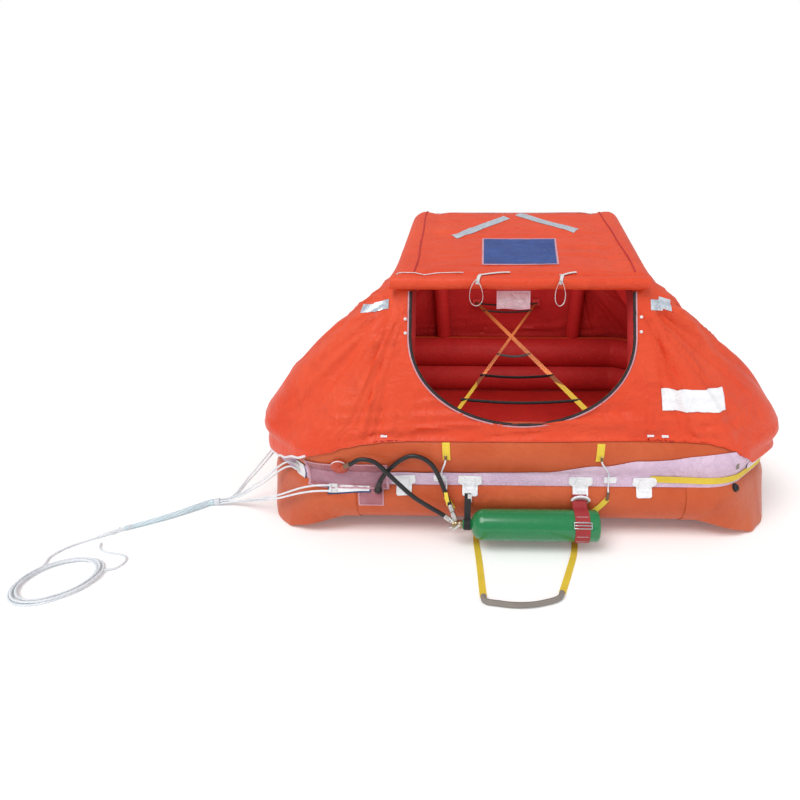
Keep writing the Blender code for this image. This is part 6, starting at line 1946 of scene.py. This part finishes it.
def make_cylinder_straps():
    """From a T patch down to the cylinder and round it: a black strap at its neck and a red one at its base."""
    stem_z = PATCH_Z - T_FOOT
    for name, x, width, inner, finish, slot in (
            ("neck", BOTTLE_X[0] - 0.014, 0.025, NECK_R + 0.0010, "webbing_black", "strap_black"),
            ("base", 0.230, 0.055, BOTTLE_R + 0.0010, "webbing_red", "strap_red")):
        top, down = front_spot(x, stem_z + 0.012, 0.0055), front_spot(x, stem_z - 0.004, 0.0058)
        reach = inner + 0.0012
        ring = [Vector((x, BOTTLE_Y + cos(angle) * reach, BOTTLE_Z + sin(angle) * reach))
                for angle in (radians(62 - 410 * t) for t in shares(72))]
        drop = [down.lerp(ring[0], share) + Vector((0, -0.003 * sin(pi * share), 0)) for share in (0.35, 0.7)]
        ribbon(name + "_strap_webbing", even([top, down] + drop + ring, 0.004), width, 0.0020, (1, 0, 0), finish,
               (name + "_strap",), columns=8)
        if name == "base":
            make_buckle(x)
    arch = [front_spot(0.235, 0.1775, 0.008) + Vector((-0.034 * cos(pi * t), -0.006 * sin(pi * t), 0.022 * sin(pi * t)))
            for t in shares(24)]
    white_line("base_strap_lashing", arch, 0.0050, strands=3, depth=0.14, pitch=0.03)
    ring = [front_spot(0.235, 0.176, 0.0085) + Vector((0.030 * cos(2 * pi * t), 0, 0.0115 * sin(2 * pi * t)))
            for t in shares(36)[:-1]]
    line_tube("base_strap_ring", ring + ring[:1], 0.0024, "valve_steel", "valve_brass", sides=10)
    neck = [front_spot(-0.196, 0.198 - 0.030 * t, 0.0075) for t in shares(8)]
    ribbon("neck_strap_loop", neck, 0.016, 0.0024, (1, 0, 0), "webbing_white", columns=4)


def make_inlets():
    """The two gas inlets with their elbows, and the relief valve at the right."""
    spot, out = on_front_tube(-0.700, UPPER_Z, -19)
    turned_fitting("inlet_upper_dome", spot - out * 0.001, out, 0.0345, 0.0030,
                   [(0.0340, 0.0035), (0.0305, 0.0045), (0.0250, 0.0045), (0.0180, 0.0035), (0.0120, 0.0018),
                    (0.0115, 0.0022), (0.0090, 0.0014)], "inlet_red", ("inlet_upper",), 40, 0.0004)
    sideways = Vector((1, 0, 0))
    rim = circle(spot + out * 0.0080, sideways, out.cross(sideways), 0.0325, shares(48)[4:21])
    line_tube("inlet_upper_rim", rim, 0.0018, "piping_cloth", "tape_white", sides=8)
    heart, end = spot + out * 0.0150, Vector(HOSE_UPPER[0])
    elbow = smooth_through([heart, heart.lerp(end, 0.5) + out * 0.0045, end], 0.003)
    line_tube("inlet_upper_elbow", elbow, 0.0098, "inlet_red", "inlet_red", sides=16)
    spot, out = on_front_tube(-0.557, LOWER_Z, 26)
    turned_fitting("inlet_lower_boss", spot - out * 0.001, out, 0.0155, 0.0030,
                   [(0.0150, 0.0040), (0.0120, 0.0040), (0.0105, 0.0015), (0.0105, 0.0050), (0.0080, 0.0016)],
                   "moulded_black", ("inlet_lower",), 28, 0.0004)
    end = Vector(HOSE_LOWER[0])
    elbow = smooth_through([spot + out * 0.0120, (spot + out * 0.0150).lerp(end, 0.6), end], 0.003)
    line_tube("inlet_lower_elbow", elbow, 0.0098, "moulded_black", "rubber_black", sides=16)
    corner, out = corner_frame(0.118, mirrored=True)
    out = out * cos(radians(28)) + Vector((0, 0, sin(radians(28))))
    seat = corner + UPRIGHT * LOWER_Z + out * (TUBE_R - 0.001)
    turned_fitting("relief_valve_cap", seat, out, 0.0175, 0.0022,
                   [(0.0165, 0.0012), (0.0140, 0.0), (0.0140, 0.0050), (0.0128, 0.0016), (0.0085, 0.0),
                    (0.0085, -0.0020), (0.0050, 0.0), (0.0045, 0.0030), (0.0030, 0.0006)],
                   "moulded_black", ("relief_valve",), 24, 0.0003)
    across = out.orthogonal().normalized()
    for number in range(10):
        turned = (Matrix.Rotation(2 * pi * number / 10, 3, out) @ across) * 0.0142
        rib = even([seat + out * 0.0036 + turned, seat + out * 0.0092 + turned], 0.002)
        line_tube("relief_valve_rib_%02d" % (number + 1), rib, 0.0013, "moulded_black", "rubber_black", sides=8)


def make_lifeline():
    """Yellow webbing from its T patch round the right end, the back and the left end, sewn down at intervals."""
    stations = ring_line(0.010, 3.0)
    start = next(number for number, (point, out, run) in enumerate(stations)
                 if point.y < -SIDE_Y + 0.001 and point.x > 0.40)
    end = next(number for number, (point, out, run) in enumerate(stations)
               if point.x < -SIDE_X + 0.001 and point.y < -0.50)
    path, total, before = [], 0.0, None
    for point, out, run in stations[start:] + stations[:end]:
        if point.y < -SIDE_Y + 0.001 and point.x < 0.50:
            continue
        total += (point - before).length if before else 0.0
        before = point
        slack = 0.0010 * abs(sin(total * pi / 0.22)) ** 0.7
        path.append(point + out * (BAND_FACE + 0.0018 + slack) + UPRIGHT * (0.262 - 0.012 * eased(total / 0.45)))
    ribbon("lifeline_webbing", path, 0.026, 0.0022, UPRIGHT, "webbing_yellow", ("lifeline",),
           columns=6)


def make_bridle_patches():
    """A white patch for each pair of bridle lines, the dark cloth under it and the two webbing ends on it."""
    def patch_spot(u, v):
        taper = 1.0 if label == "front" else 1.0 - 0.28 * abs(2 * v - 1) ** 1.5
        a, b = (2 * u - 1) * width / 2 * taper, (1 - 2 * v) * height / 2
        if label == "front":
            b *= 1 - 0.45 * eased((u if side < 0 else 1 - u) * 1.1)
        rumple = 0.0012 * crease_noise((a * 40, b * 40, 3), 111)
        return centre + across * a + rise * b, 0.0014 + abs(rumple), a

    for label, centre, out, width, height, side in bridle_spots():
        across = UPRIGHT.cross(out).normalized()
        rise = out.cross(across)
        node = "bridle_patch_" + label
        spots = grid(shares(12), shares(20), patch_spot)
        trim_sheet(node + "_cloth", [[spot + out * lift for spot, lift, a in row] for row in spots], 0.0016,
                   "patch_cloth", None, node)
        trim_sheet(node + "_backing", [[spot + across * a * 0.06 - rise * 0.006 + out * 0.0002 for spot, lift, a in row]
                                       for row in spots], 0.0010, "navy_cloth")
        away = across * side
        up = out.cross(away) * side
        for number, apart in enumerate((LINE_APART, -LINE_APART)):
            start = centre + out * (PATCH_T + 0.0012) + up * apart + away * (width / 2 - 0.034)
            path = [start + away * 0.034 * t + out * 0.0006 for t in shares(8)]
            ribbon("%s_webbing_%d" % (node, number + 1), path, 0.013, 0.0016, up, "webbing_white")


def make_corner_cloth(cloth):
    """At the left a white hem and clear pink cloth round the inlet, at the right the band's cloth and a tie."""
    ring = ring_line(0.010, 3.0)
    left = [(point, out, point + out * TUBE_R) for point, out, run in ring if point.y < -0.45 and point.x < -0.4]
    hem = [cloth.towards(point + out * 0.6 + UPRIGHT * (max(0.276, read_off(HEM_POINTS, abs(spot.x))) + 0.004),
                         -out, 0.0012)
           for point, out, spot in left if spot.x <= -0.830 and spot.y <= -0.62]
    ribbon("corner_hem_white", even(hem, 0.006), 0.009, 0.0022, UPRIGHT, "piping_cloth", columns=4)
    rows = []
    for point, out, spot in left:
        if not -0.86 < spot.x < -0.505:
            continue
        row = []
        for v in shares(22):
            z = 0.322 - 0.110 * v + 0.004 * crease_noise((spot.x * 9, 1, 1), 121)
            lift = 0.0030 + 0.0050 * abs(crease_noise((spot.x * 30, z * 24, 2), 122))
            row.append(point + out * (front_reach(z) + lift) + UPRIGHT * z)
        rows.append(row)
    trim_sheet("corner_film", rows, 0.0005, "film_pink", "border_cloth")
    rows = grid(shares(22), shares(24), lambda u, v: front_spot(
        -0.636 + 0.100 * u, 0.226 - 0.083 * v, 0.0006 + 0.0016 * abs(crease_noise((u * 5, v * 5, 5), 123))))
    trim_sheet("inlet_patch_film", rows, 0.0008, "film_pink", "border_cloth")
    rows = []
    for point, out, run in [station for station in ring if station[0].y < -0.45 and station[0].x > 0.85][::3]:
        if (point + out * TUBE_R).x >= 0.93:
            lift = 0.0040 + 0.0020 * abs(crease_noise(point * 14, 125))
            rows.append([point + out * (front_reach(z) + lift) + UPRIGHT * z
                         for z in (0.335 - 0.075 * v for v in shares(10))])
    trim_sheet("corner_cloth_right", rows, 0.0008, "lilac_cloth", "piping_cloth")
    corner, out = corner_frame(0.135, mirrored=True)
    tie = [corner + out * (0.1060 + 0.0006 * step) + UPRIGHT * (0.350 - 0.0058 * step) for step in range(9)]
    ribbon("corner_tie", tie, 0.014, 0.0016, UPRIGHT.cross(out), "webbing_grey")


def make_trim(cloth):
    make_roof_trim(cloth)
    make_wall_trim(cloth)
    make_hem_binding()
    make_zip()
    make_door_roll(cloth)
    make_card_pocket()
    make_ladder()
    make_patches()
    make_bottle()
    make_valve()
    make_cylinder_straps()
    make_inlets()
    make_lifeline()
    make_bridle_patches()
    make_corner_cloth(cloth)


make_finishes()
make_camera()
make_light()
make_floor()
make_lines()
make_trim(Cloth(make_hull()))
bpy.context.scene.view_settings.view_transform = "Standard"
